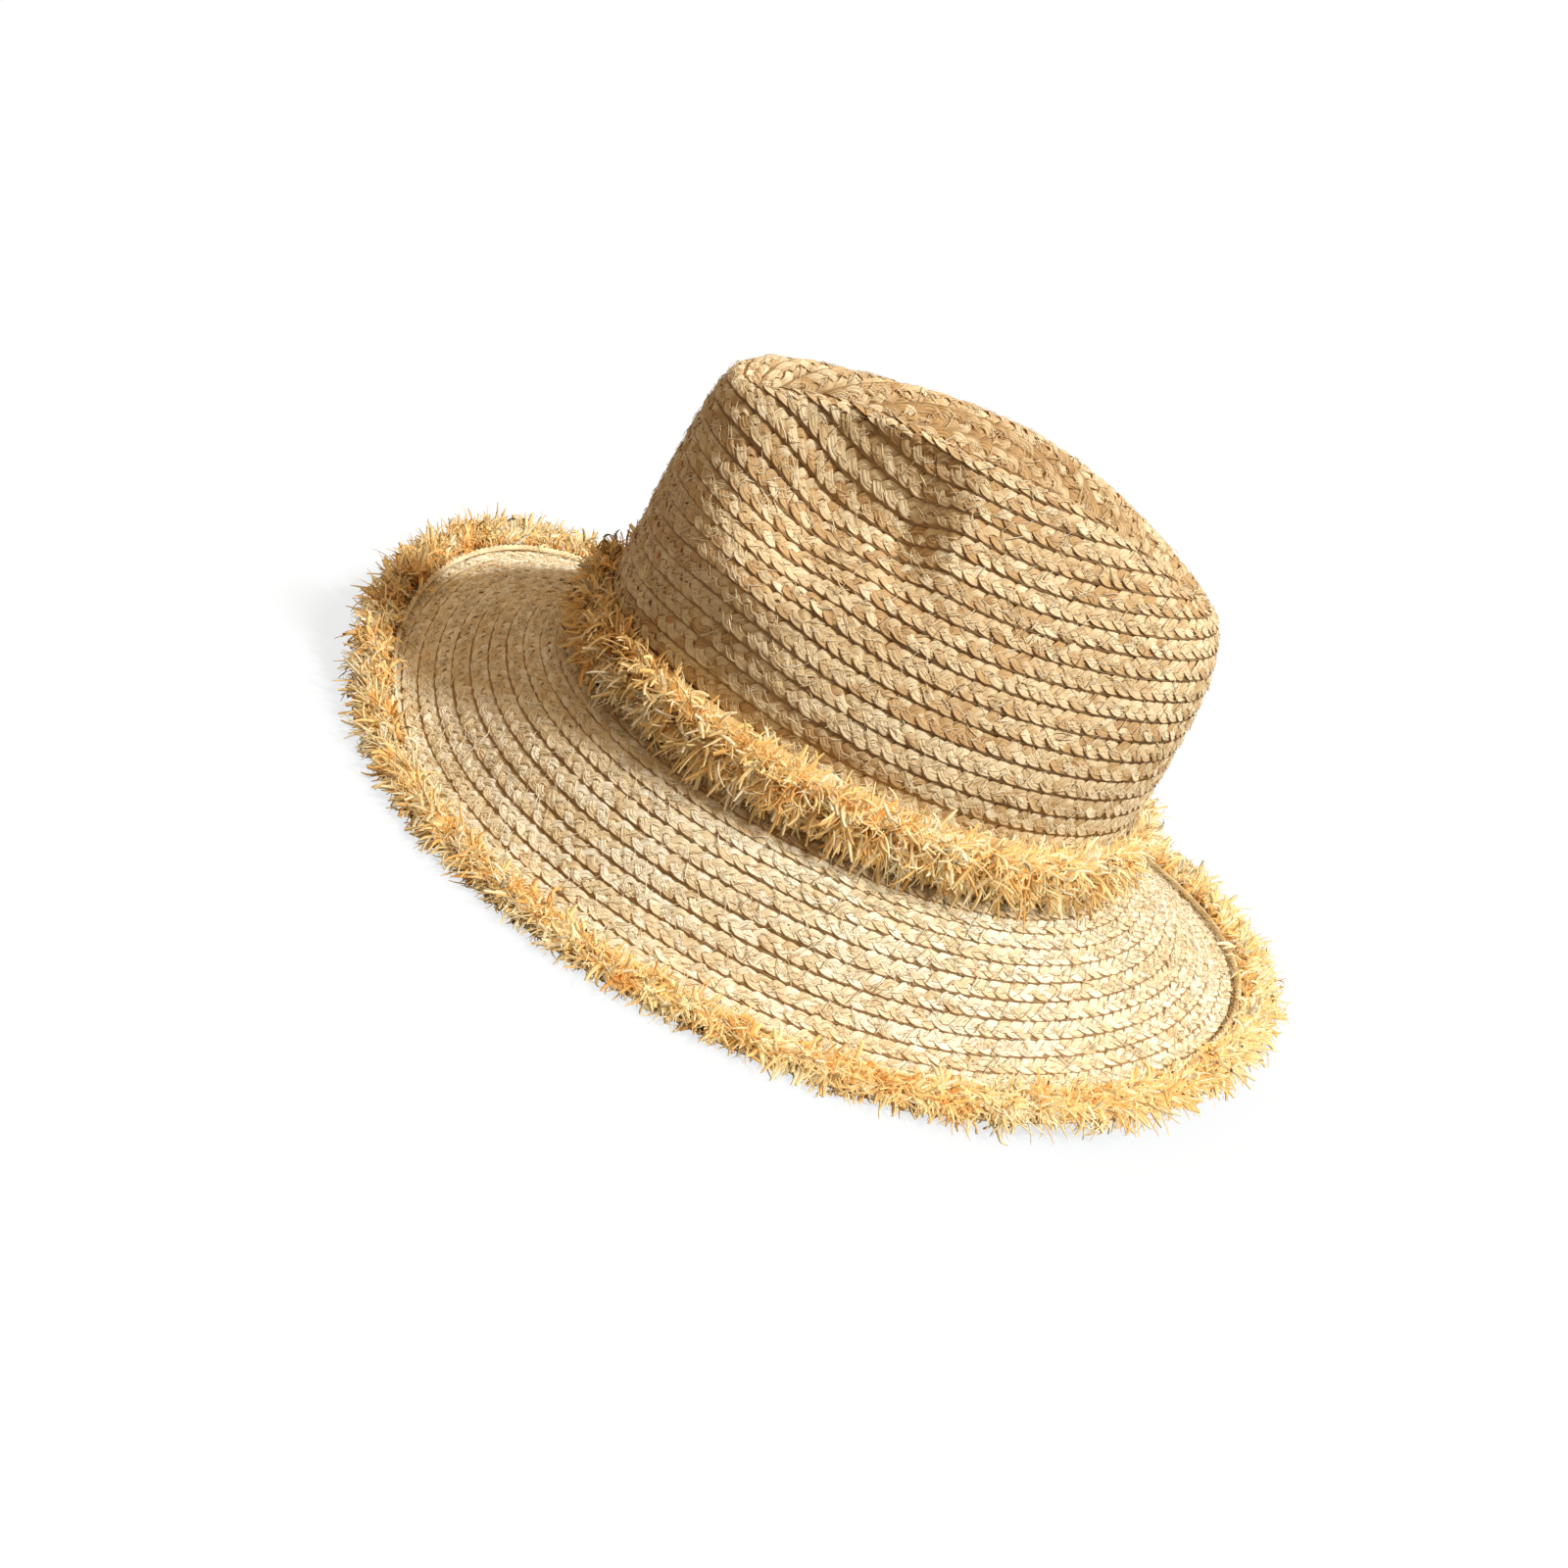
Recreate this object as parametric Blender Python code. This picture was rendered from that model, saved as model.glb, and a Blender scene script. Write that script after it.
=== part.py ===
"""Straw sun hat with a creased crown, a drooping brim and two raffia fringes.

Metres, +Z up.  The front of the hat faces -Y and the wearer's left is +X.
The hat stands on the lowest stretches of its brim, on the plane z = 0.
Angles round the hat start at the front and turn towards the wearer's left.
"""
from math import cos, pi, radians, sin, sqrt

import bmesh
import bpy
from mathutils import Matrix, Vector

# Crown, measured outside the straw: an oval foot and a narrower ridge round the crease in its top
CROWN_LENGTH = 0.200
CROWN_WIDTH = 0.166
CROWN_HEIGHT = 0.127
UPRIGHT_FOOT = 0.032
RIDGE_FRONT = 0.094
RIDGE_BACK = 0.088
RIDGE_HALF_WIDTH = 0.0255
RIDGE_PINCH_SHARE = 0.45
RIDGE_FRONT_DROP = 0.013
RIDGE_BACK_DROP = 0.0245
RIDGE_WALL_EASE = 0.07
RIDGE_CREASE_EASE = 0.22
SIDE_BULGE = 1.35
FRONT_BULGE = 8.0
BACK_BULGE = 6.0
TIP_SHARE = 0.514

# Lengthwise crease inside the ridge, down to a narrow floor
CREASE_DEPTH = 0.030
CREASE_FLOOR_FRONT = 0.035
CREASE_FLOOR_BACK = 0.018
CREASE_FLOOR_HALF_WIDTH = 0.0039
CREASE_SIDE_POWER = 1.35
CREASE_END_POWER = 3.2

# Pinch on each side of the crown's front
PINCH_DEPTH = 0.018
PINCH_DOWN_SHARE = 0.85
PINCH_LENGTHWISE_SHARE = 0.5
PINCH_DEG = 50.0
PINCH_EDGE_DEG = 71.0
PINCH_LIP_DEG = 82.0
PINCH_EDGE_LOSS = 0.35
PINCH_FOOT_SHARE = 0.46
PINCH_LIP_FOOT_SHARE = 0.58
PINCH_FULL_SHARE = 0.80

# Straw plait, and the gap kept between pieces that touch
STRAW_THICKNESS = 0.0030
SEAM_GAP = 0.0003

# Brim, measured along its slope from the head line to the edge of the straw
BRIM_WIDTH = 0.078
BRIM_SLOPE_DEG = 33.5
BRIM_SWAY = 0.06
EDGE_FLAT = 0.0060
CROWN_LEAN_DEG = 3.4
CROWN_LEAN_TOWARDS_DEG = 225.0
BACK_RISE = 0.0160
BACK_RISE_DEG = 162.0
BACK_RISE_HALF_DEG = 75.0
FRONT_RISE = 0.0220
FRONT_RISE_DEG = 322.0
FRONT_RISE_HALF_DEG = 54.0

# Sweatband ribbon inside the head opening, and its thread
RIBBON_HEIGHT = 0.030
RIBBON_THICKNESS = 0.0010
RIBBON_FOOT = 0.0010
THREAD_DIAMETER = 0.0008
THREAD_HEIGHT = 0.0050

# Fringe band round the foot of the crown
BAND_FOOT = 0.0050
BAND_HEIGHT = 0.0180
BAND_THICKNESS = 0.0015
TAPE_THICKNESS = 0.0012
BAND_TUFTS = 84
BAND_TUFT_OUT = 0.0100
BAND_TUFT_RISE = 0.0085

# Fringe along the edge of the brim
HEADER_DIAMETER = 0.0022
EDGE_TAPE_WIDTH = 0.0105
EDGE_TUFTS = 120
EDGE_TUFT_OVERHANG = 0.0070
EDGE_TUFT_RISE = 0.0040
INNER_TUFT_RISE = 0.0095
INNER_TUFT_LEAN = 0.0025

# Facets
ROUND_STEPS = 60
PROFILE_SAMPLES = 240
WALL_STEPS = 5
TIP_WALL_STEPS = 4
TIP_CREASE_STEPS = 5
BRIM_STEPS = 5
NORMAL_STEP = 0.0005

STRAW_COLOUR = (0.72, 0.53, 0.30, 1.0)
FRINGE_COLOUR = (0.80, 0.50, 0.17, 1.0)
HEADER_COLOUR = (0.62, 0.40, 0.17, 1.0)
TAPE_COLOUR = (0.66, 0.45, 0.22, 1.0)
RIBBON_COLOUR = (0.78, 0.70, 0.56, 1.0)
THREAD_COLOUR = (0.80, 0.70, 0.50, 1.0)


def clear_scene():
    for obj in list(bpy.data.objects):
        bpy.data.objects.remove(obj, do_unlink=True)


def ease(x):
    x = min(max(x, 0.0), 1.0)
    return x * x * (3.0 - 2.0 * x)


def turn_between(a, b):
    """Smallest angle between two directions round the hat."""
    return abs((a - b + pi) % (2.0 * pi) - pi)


def swell(angle, centre_deg, half_deg):
    """One smooth hump round the hat, 1 at its centre and 0 beyond its half width."""
    share = turn_between(angle, radians(centre_deg)) / radians(half_deg)
    if share >= 1.0:
        return 0.0
    return cos(share * pi / 2.0) ** 2


def round_angles(count):
    return [2.0 * pi * i / count for i in range(count)]


# The hat's own shape, in the crown's upright frame with the head line at height 0

def head_oval(angle):
    return Vector((CROWN_WIDTH / 2.0 * sin(angle), -CROWN_LENGTH / 2.0 * cos(angle), 0.0))


def oval_normal(angle):
    return Vector((sin(angle) / CROWN_WIDTH, -cos(angle) / CROWN_LENGTH, 0.0)).normalized()


def front_share(angle):
    return max(cos(angle), 0.0)


def back_share(angle):
    return max(-cos(angle), 0.0)


def ridge_point(angle):
    """The top of the crown's wall, before the ridge is rounded."""
    front = front_share(angle)
    back = back_share(angle)
    length = RIDGE_FRONT if front > 0.0 else RIDGE_BACK
    width = RIDGE_HALF_WIDTH * (1.0 - RIDGE_PINCH_SHARE * (2.0 * front * sin(angle)) ** 2)
    height = CROWN_HEIGHT - RIDGE_FRONT_DROP * front ** 4 - RIDGE_BACK_DROP * back ** 2
    return Vector((width * sin(angle), -length * cos(angle), height))


def floor_point(angle):
    length = CREASE_FLOOR_FRONT if front_share(angle) > 0.0 else CREASE_FLOOR_BACK
    height = CROWN_HEIGHT - CREASE_DEPTH
    return Vector((CREASE_FLOOR_HALF_WIDTH * sin(angle), -length * cos(angle), height))


def wall_line(angle, share):
    """The wall at a share of its height: upright at the foot, then leaning in to the ridge."""
    ridge = ridge_point(angle)
    more_front = (FRONT_BULGE - SIDE_BULGE) * front_share(angle) ** 4
    more_back = (BACK_BULGE - SIDE_BULGE) * back_share(angle) ** 4
    power = SIDE_BULGE + more_front + more_back
    upright = UPRIGHT_FOOT / ridge.z
    leaning = max((share - upright) / (1.0 - upright), 0.0)
    point = head_oval(angle).lerp(ridge, leaning ** power)
    point.z = ridge.z * share
    return point


def crease_line(angle, share):
    """The crease at a share of the way in from the ridge to its floor."""
    ridge = ridge_point(angle)
    floor = floor_point(angle)
    power = CREASE_SIDE_POWER + (CREASE_END_POWER - CREASE_SIDE_POWER) * cos(angle) ** 2
    point = ridge.lerp(floor, share)
    point.z = floor.z + (ridge.z - floor.z) * (1.0 - share) ** power
    return point


def crown_line(angle, place):
    """The crown before it is pinched; place runs from 0 at the foot to 1 at the ridge and 2 at the floor."""
    start = 1.0 - RIDGE_WALL_EASE
    end = 1.0 + RIDGE_CREASE_EASE
    if place <= start:
        return wall_line(angle, place)
    if place >= end:
        return crease_line(angle, place - 1.0)
    share = (place - start) / (end - start)
    first = wall_line(angle, start).lerp(ridge_point(angle), share)
    second = ridge_point(angle).lerp(crease_line(angle, RIDGE_CREASE_EASE), share)
    return first.lerp(second, share)


def profile_table(angle):
    """Places on the crown's outline and the length from the foot to each."""
    places = [2.0 * i / PROFILE_SAMPLES for i in range(PROFILE_SAMPLES + 1)]
    lengths = [0.0]
    previous = crown_line(angle, 0.0)
    for place in places[1:]:
        point = crown_line(angle, place)
        lengths.append(lengths[-1] + (point - previous).length)
        previous = point
    return places, lengths


def place_at(table, share):
    """The place at a share of the whole length."""
    places, lengths = table
    goal = share * lengths[-1]
    i = 1
    while lengths[i] < goal:
        i += 1
    part = (goal - lengths[i - 1]) / (lengths[i] - lengths[i - 1])
    return places[i - 1] + part * (places[i] - places[i - 1])


def pinch(angle, place):
    """How far the front of the crown is pressed in: deepest at PINCH_DEG, with a sharp lip behind."""
    turn = turn_between(angle, 0.0)
    middle = radians(PINCH_DEG)
    edge = radians(PINCH_EDGE_DEG)
    lip = radians(PINCH_LIP_DEG)
    behind = ease((turn - middle) / (edge - middle))
    round_share = ease(turn / middle) * (1.0 - PINCH_EDGE_LOSS * behind) * ease((lip - turn) / (lip - edge))
    foot = PINCH_FOOT_SHARE + (PINCH_LIP_FOOT_SHARE - PINCH_FOOT_SHARE) * behind
    below = ease((place - foot) / (PINCH_FULL_SHARE - foot))
    above = ease((1.0 - place) / (1.0 - PINCH_FULL_SHARE))
    return PINCH_DEPTH * round_share * below * above


def crown_point(angle, place):
    """Outer face of the crown, creased along the top and pinched at the front."""
    point = crown_line(angle, place)
    depth = pinch(angle, place)
    level = oval_normal(angle) * depth
    point.x -= level.x
    point.y -= level.y * PINCH_LENGTHWISE_SHARE
    point.z -= depth * PINCH_DOWN_SHARE
    return point


def straw_direction(angle, place):
    """Across the straw: level at the upright foot of the wall, square to the face above it."""
    if place * ridge_point(angle).z <= UPRIGHT_FOOT:
        return oval_normal(angle)
    turn = NORMAL_STEP
    along = crown_point(angle + turn, place) - crown_point(angle - turn, place)
    up = crown_point(angle, min(place + turn, 2.0)) - crown_point(angle, place - turn)
    return along.cross(up).normalized()


def wall_point(angle, height, out):
    """A point beside the upright foot of the crown's wall, out from its outer face."""
    point = head_oval(angle) + oval_normal(angle) * out
    point.z = height
    return point


# The hat as it stands: the crown leans a little, and the brim reaches down to the plane z = 0

def head_line_height():
    return BRIM_WIDTH * sin(radians(BRIM_SLOPE_DEG)) + STRAW_THICKNESS


def lean_matrix():
    towards = radians(CROWN_LEAN_TOWARDS_DEG)
    axis = Vector((cos(towards), sin(towards), 0.0))
    return Matrix.Rotation(radians(CROWN_LEAN_DEG), 3, axis)


def stand(point):
    placed = lean_matrix() @ point
    placed.z += head_line_height()
    return placed


def edge_height(angle):
    """Height of the underside of the brim's edge."""
    back = BACK_RISE * swell(angle, BACK_RISE_DEG, BACK_RISE_HALF_DEG)
    front = FRONT_RISE * swell(angle, FRONT_RISE_DEG, FRONT_RISE_HALF_DEG)
    return back + front


def brim_line(angle):
    """Where the brim starts, how far it falls and how far it runs out, at one angle."""
    start = stand(head_oval(angle) - Vector((0.0, 0.0, SEAM_GAP)))
    fall = start.z - edge_height(angle) - STRAW_THICKNESS
    run = sqrt(BRIM_WIDTH ** 2 - fall ** 2)
    return start, fall, run


def brim_point(angle, inset, lift):
    """A point straight above the brim's upper face, at a distance in from the edge."""
    start, fall, run = brim_line(angle)
    out = run - inset
    share = min(out / (run - EDGE_FLAT), 1.0)
    point = start + oval_normal(angle) * out
    point.z = start.z - fall * (share - BRIM_SWAY * sin(2.0 * pi * share)) + lift
    return point


def brim_underside(angle, inset):
    """The point of the brim's lower face that lies square below its upper face."""
    start, fall, run = brim_line(angle)
    sloped = run - EDGE_FLAT
    share = (run - inset) / sloped
    slope = 0.0
    if share < 1.0:
        slope = fall / sloped * (1.0 - BRIM_SWAY * 2.0 * pi * cos(2.0 * pi * share))
    square = (oval_normal(angle) * slope + Vector((0.0, 0.0, 1.0))).normalized()
    return brim_point(angle, inset, 0.0) - square * STRAW_THICKNESS


# Solids

def new_material(name, colour, roughness):
    material = bpy.data.materials.new(name)
    material.use_nodes = True
    shader = material.node_tree.nodes["Principled BSDF"]
    shader.inputs["Base Color"].default_value = colour
    shader.inputs["Roughness"].default_value = roughness
    shader.inputs["Metallic"].default_value = 0.0
    return material


def finish(name, mesh, material, parent):
    obj = bpy.data.objects.new(name, mesh)
    bpy.context.scene.collection.objects.link(obj)
    mesh.materials.append(material)
    mesh.shade_smooth()
    mesh.set_sharp_from_angle(angle=radians(40.0))
    obj.parent = parent
    return obj


def face_outwards(bm):
    """Turn a closed, evenly wound mesh so that its faces point out."""
    if bm.calc_volume(signed=True) < 0.0:
        bmesh.ops.reverse_faces(bm, faces=bm.faces)


def loft_ring(bm, sections):
    """Join closed sections, one at each angle round the hat, into one closed ring.

    Returns the faces of each side of the section, in order.
    """
    loops = [[bm.verts.new(point) for point in section] for section in sections]
    sides = []
    for k in range(len(sections[0])):
        faces = []
        for i in range(len(loops)):
            here = loops[i]
            there = loops[(i + 1) % len(loops)]
            after = (k + 1) % len(here)
            faces.append(bm.faces.new((here[k], there[k], there[after], here[after])))
        sides.append(faces)
    return sides


def ring_object(name, sections, material, parent, tips=None):
    """A closed ring.  With tips, its first side carries one tuft drawn out to each tip."""
    mesh = bpy.data.meshes.new(name)
    bm = bmesh.new()
    sides = loft_ring(bm, sections)
    if tips:
        poked = bmesh.ops.poke(bm, faces=sides[0])
        for vert, tip in zip(poked["verts"], tips):
            vert.co = tip
    face_outwards(bm)
    bm.to_mesh(mesh)
    bm.free()
    return finish(name, mesh, material, parent)


def cord_object(name, points, diameter, material, parent):
    """A round cord that runs in a closed loop through the points."""
    curve = bpy.data.curves.new(name, "CURVE")
    curve.dimensions = "3D"
    curve.bevel_depth = diameter / 2.0
    curve.bevel_resolution = 0
    spline = curve.splines.new("POLY")
    spline.points.add(len(points) - 1)
    for slot, point in zip(spline.points, points):
        slot.co = (*point, 1.0)
    spline.use_cyclic_u = True
    obj = bpy.data.objects.new(name, curve)
    bpy.context.scene.collection.objects.link(obj)
    curve.materials.append(material)
    obj.parent = parent
    return obj


def crown_column(angle, places):
    """Outer and inner points of the crown at one angle, as the hat stands."""
    outer = []
    inner = []
    for place in places:
        point = crown_point(angle, place)
        outer.append(stand(point))
        inner.append(stand(point - straw_direction(angle, place) * STRAW_THICKNESS))
    return outer, inner


def steps_between(first, last, count):
    return [first + (last - first) * i / count for i in range(count + 1)]


def crown_wall(material, parent):
    sections = []
    for angle in round_angles(ROUND_STEPS):
        table = profile_table(angle)
        last = place_at(table, TIP_SHARE - SEAM_GAP / 2.0 / table[1][-1])
        upright = UPRIGHT_FOOT / ridge_point(angle).z
        outer, inner = crown_column(angle, [0.0] + steps_between(upright, last, WALL_STEPS))
        sections.append(outer + inner[::-1])
    return ring_object("crown_wall", sections, material, parent)


def crown_tip(material, parent):
    """The closed top of the crown: an outer and an inner skin that meet at the rim."""
    mesh = bpy.data.meshes.new("crown_tip")
    bm = bmesh.new()
    columns = []
    for angle in round_angles(ROUND_STEPS):
        table = profile_table(angle)
        first = place_at(table, TIP_SHARE + SEAM_GAP / 2.0 / table[1][-1])
        places = steps_between(first, 1.0, TIP_WALL_STEPS) + steps_between(1.0, 2.0, TIP_CREASE_STEPS)[1:]
        outer, inner = crown_column(angle, places)
        columns.append([bm.verts.new(point) for point in outer[::-1] + inner])
    middle = Vector((0.0, (CREASE_FLOOR_BACK - CREASE_FLOOR_FRONT) / 2.0, CROWN_HEIGHT - CREASE_DEPTH))
    outer_middle = bm.verts.new(stand(middle))
    inner_middle = bm.verts.new(stand(middle - Vector((0.0, 0.0, STRAW_THICKNESS))))
    for i in range(ROUND_STEPS):
        here = columns[i]
        there = columns[(i + 1) % ROUND_STEPS]
        for k in range(len(here) - 1):
            bm.faces.new((here[k], there[k], there[k + 1], here[k + 1]))
        bm.faces.new((here[-1], there[-1], inner_middle))
        bm.faces.new((there[0], here[0], outer_middle))
    face_outwards(bm)
    bm.to_mesh(mesh)
    bm.free()
    return finish("crown_tip", mesh, material, parent)


def header_inset():
    return EDGE_TAPE_WIDTH + SEAM_GAP + HEADER_DIAMETER / 2.0


def brim(material, parent):
    sections = []
    for angle in round_angles(ROUND_STEPS):
        run = brim_line(angle)[2]
        inner_edge = head_oval(angle) - oval_normal(angle) * STRAW_THICKNESS
        upper = [stand(inner_edge - Vector((0.0, 0.0, SEAM_GAP)))]
        lower = [stand(inner_edge - Vector((0.0, 0.0, SEAM_GAP + STRAW_THICKNESS)))]
        sloped = run - header_inset()
        insets = [run - sloped * i / BRIM_STEPS for i in range(BRIM_STEPS + 1)]
        insets += [EDGE_TAPE_WIDTH, EDGE_FLAT, 0.0]
        upper += [brim_point(angle, inset, 0.0) for inset in insets]
        lower += [brim_underside(angle, inset) for inset in insets]
        sections.append(upper + lower[::-1])
    return ring_object("brim", sections, material, parent)


def wall_section(angle, foot, top, near, far):
    """Closed section of a band beside the crown's wall; its first side is the face at far."""
    corners = ((foot, far), (top, far), (top, near), (foot, near))
    return [stand(wall_point(angle, height, out)) for height, out in corners]


def sweatband(material, parent):
    far = -STRAW_THICKNESS - SEAM_GAP - RIBBON_THICKNESS
    near = -STRAW_THICKNESS - SEAM_GAP
    top = RIBBON_FOOT + RIBBON_HEIGHT
    sections = [wall_section(a, RIBBON_FOOT, top, near, far) for a in round_angles(ROUND_STEPS)]
    return ring_object("sweatband", sections, material, parent)


def sweatband_thread(material, parent):
    out = -STRAW_THICKNESS - RIBBON_THICKNESS - 2.0 * SEAM_GAP - THREAD_DIAMETER / 2.0
    points = [stand(wall_point(a, THREAD_HEIGHT, out)) for a in round_angles(ROUND_STEPS)]
    return cord_object("sweatband_thread", points, THREAD_DIAMETER, material, parent)


def band_core(material, parent):
    near = SEAM_GAP
    far = SEAM_GAP + BAND_THICKNESS
    top = BAND_FOOT + BAND_HEIGHT
    sections = [wall_section(a, BAND_FOOT, top, near, far) for a in round_angles(ROUND_STEPS)]
    return ring_object("band_core", sections, material, parent)


def band_fringe(name, upper, material, parent):
    """Half of the band's fringe: a tape on the core and one row of tufts."""
    middle = BAND_FOOT + BAND_HEIGHT / 2.0
    rise = BAND_TUFT_RISE
    foot = middle + THREAD_DIAMETER / 2.0 + SEAM_GAP
    top = BAND_FOOT + BAND_HEIGHT
    if not upper:
        foot, top = BAND_FOOT, 2.0 * middle - foot
        rise = -rise
    near = BAND_THICKNESS + 2.0 * SEAM_GAP
    far = near + TAPE_THICKNESS
    angles = round_angles(BAND_TUFTS)
    sections = [wall_section(a, foot, top, near, far) for a in angles]
    half_step = pi / BAND_TUFTS
    height = (foot + top) / 2.0 + rise
    tips = [stand(wall_point(a + half_step, height, far + BAND_TUFT_OUT)) for a in angles]
    return ring_object(name, sections, material, parent, tips)


def band_thread(material, parent):
    """The thread that sews the band's fringe down, between its two rows of tufts."""
    out = BAND_THICKNESS + 2.0 * SEAM_GAP + THREAD_DIAMETER / 2.0
    height = BAND_FOOT + BAND_HEIGHT / 2.0
    points = [stand(wall_point(a, height, out)) for a in round_angles(ROUND_STEPS)]
    return cord_object("band_thread", points, THREAD_DIAMETER, material, parent)


def edge_header(material, parent):
    """The smooth cord along the inner border of the brim's fringe."""
    lift = SEAM_GAP + HEADER_DIAMETER / 2.0
    angles = round_angles(EDGE_TUFTS)
    points = [brim_point(a, header_inset(), lift) for a in angles]
    return cord_object("brim_fringe_header", points, HEADER_DIAMETER, material, parent)


def edge_section(angle, inner, outer):
    """Closed section of a tape on the brim; its first side is the upper face."""
    low = SEAM_GAP
    high = SEAM_GAP + TAPE_THICKNESS
    corners = ((inner, high), (outer, high), (outer, low), (inner, low))
    return [brim_point(angle, inset, lift) for inset, lift in corners]


def edge_fringe(name, inner, outer, tip_inset, tip_lift, material, parent):
    angles = round_angles(EDGE_TUFTS)
    sections = [edge_section(a, inner, outer) for a in angles]
    half_step = pi / EDGE_TUFTS
    tips = [brim_point(a + half_step, tip_inset, tip_lift) for a in angles]
    return ring_object(name, sections, material, parent, tips)


def brim_fringe_inner(material, parent):
    inner = EDGE_TAPE_WIDTH
    outer = EDGE_FLAT + SEAM_GAP
    lean = (inner + outer) / 2.0 + INNER_TUFT_LEAN
    rise = TAPE_THICKNESS + INNER_TUFT_RISE
    return edge_fringe("brim_fringe_inner", inner, outer, lean, rise, material, parent)


def brim_fringe_outer(material, parent):
    rise = TAPE_THICKNESS + EDGE_TUFT_RISE
    reach = -EDGE_TUFT_OVERHANG
    return edge_fringe("brim_fringe_outer", EDGE_FLAT, SEAM_GAP, reach, rise, material, parent)


def centre_on_footprint(parent, widest):
    """Move the whole hat so that the middle of its footprint is at the origin."""
    xs = [vert.co.x for vert in widest.data.vertices]
    ys = [vert.co.y for vert in widest.data.vertices]
    parent.location.x = -(min(xs) + max(xs)) / 2.0
    parent.location.y = -(min(ys) + max(ys)) / 2.0


def build():
    clear_scene()
    hat = bpy.data.objects.new("straw_sun_hat", None)
    bpy.context.scene.collection.objects.link(hat)
    straw = new_material("straw_plait", STRAW_COLOUR, 0.65)
    fringe = new_material("raffia_fringe", FRINGE_COLOUR, 0.60)
    header = new_material("fringe_header", HEADER_COLOUR, 0.60)
    tape = new_material("fringe_tape", TAPE_COLOUR, 0.70)
    ribbon = new_material("sweatband_ribbon", RIBBON_COLOUR, 0.85)
    thread = new_material("sewing_thread", THREAD_COLOUR, 0.60)
    crown_tip(straw, hat)
    crown_wall(straw, hat)
    brim(straw, hat)
    sweatband(ribbon, hat)
    sweatband_thread(thread, hat)
    band_core(tape, hat)
    band_fringe("band_fringe_upper", True, fringe, hat)
    band_fringe("band_fringe_lower", False, fringe, hat)
    band_thread(thread, hat)
    edge_header(header, hat)
    brim_fringe_inner(fringe, hat)
    widest = brim_fringe_outer(fringe, hat)
    centre_on_footprint(hat, widest)


build()
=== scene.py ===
"""Looks of the straw sun hat: plaited raffia rows, two frayed fringes and a ribbon inside.

Metres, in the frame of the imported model.  Angles round the hat start at the front (-Y)
and turn towards the wearer's left (+X).  Rows of plait are counted from the middle of the
crown's tip: the head line and the edge of the brim are whole or part rows on that count.
"""
from math import cos, pi, radians, sin

import bpy
import numpy as np
from mathutils import Matrix, Vector


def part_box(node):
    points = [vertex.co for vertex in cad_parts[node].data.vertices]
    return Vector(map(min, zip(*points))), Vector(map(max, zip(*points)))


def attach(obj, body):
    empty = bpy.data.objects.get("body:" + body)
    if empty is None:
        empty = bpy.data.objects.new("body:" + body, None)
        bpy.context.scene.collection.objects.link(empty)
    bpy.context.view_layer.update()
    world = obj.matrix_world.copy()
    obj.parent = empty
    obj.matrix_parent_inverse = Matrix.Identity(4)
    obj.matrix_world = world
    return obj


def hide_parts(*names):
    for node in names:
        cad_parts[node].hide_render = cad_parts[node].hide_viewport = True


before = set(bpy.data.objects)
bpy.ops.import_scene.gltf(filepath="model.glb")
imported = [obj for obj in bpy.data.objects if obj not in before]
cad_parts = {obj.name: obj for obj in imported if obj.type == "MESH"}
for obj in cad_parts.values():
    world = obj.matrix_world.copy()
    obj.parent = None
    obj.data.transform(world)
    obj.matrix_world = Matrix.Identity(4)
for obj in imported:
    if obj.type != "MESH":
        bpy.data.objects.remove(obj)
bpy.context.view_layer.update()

TURN = 2.0 * pi
MM = 0.001

# Shape of the hat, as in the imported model
CROWN_LENGTH = 0.200
CROWN_WIDTH = 0.166
CROWN_HEIGHT = 0.127
UPRIGHT_FOOT = 0.032
RIDGE_FRONT = 0.094
RIDGE_BACK = 0.088
RIDGE_HALF_WIDTH = 0.0255
RIDGE_PINCH_SHARE = 0.45
RIDGE_FRONT_DROP = 0.013
RIDGE_BACK_DROP = 0.0245
RIDGE_WALL_EASE = 0.07
RIDGE_CREASE_EASE = 0.22
SIDE_BULGE = 1.35
FRONT_BULGE = 8.0
BACK_BULGE = 6.0
TIP_SHARE = 0.514
CREASE_DEPTH = 0.030
CREASE_FLOOR_FRONT = 0.035
CREASE_FLOOR_BACK = 0.018
CREASE_FLOOR_HALF_WIDTH = 0.0039
CREASE_SIDE_POWER = 1.35
CREASE_END_POWER = 3.2
PINCH_DEPTH = 0.018
PINCH_DOWN_SHARE = 0.85
PINCH_LENGTHWISE_SHARE = 0.5
PINCH_DEG = 50.0
PINCH_EDGE_DEG = 71.0
PINCH_LIP_DEG = 82.0
PINCH_EDGE_LOSS = 0.35
PINCH_FOOT_SHARE = 0.46
PINCH_LIP_FOOT_SHARE = 0.58
PINCH_FULL_SHARE = 0.80
STRAW_THICKNESS = 0.003
BRIM_WIDTH = 0.078
BRIM_SLOPE_DEG = 33.5
BRIM_SWAY = 0.06
EDGE_FLAT = 0.006
CROWN_LEAN_DEG = 3.4
CROWN_LEAN_TOWARDS_DEG = 225.0
BACK_RISE = (0.016, 162.0, 75.0)
FRONT_RISE = (0.022, 322.0, 54.0)
CAD_ROUND_STEPS = 60

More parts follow.
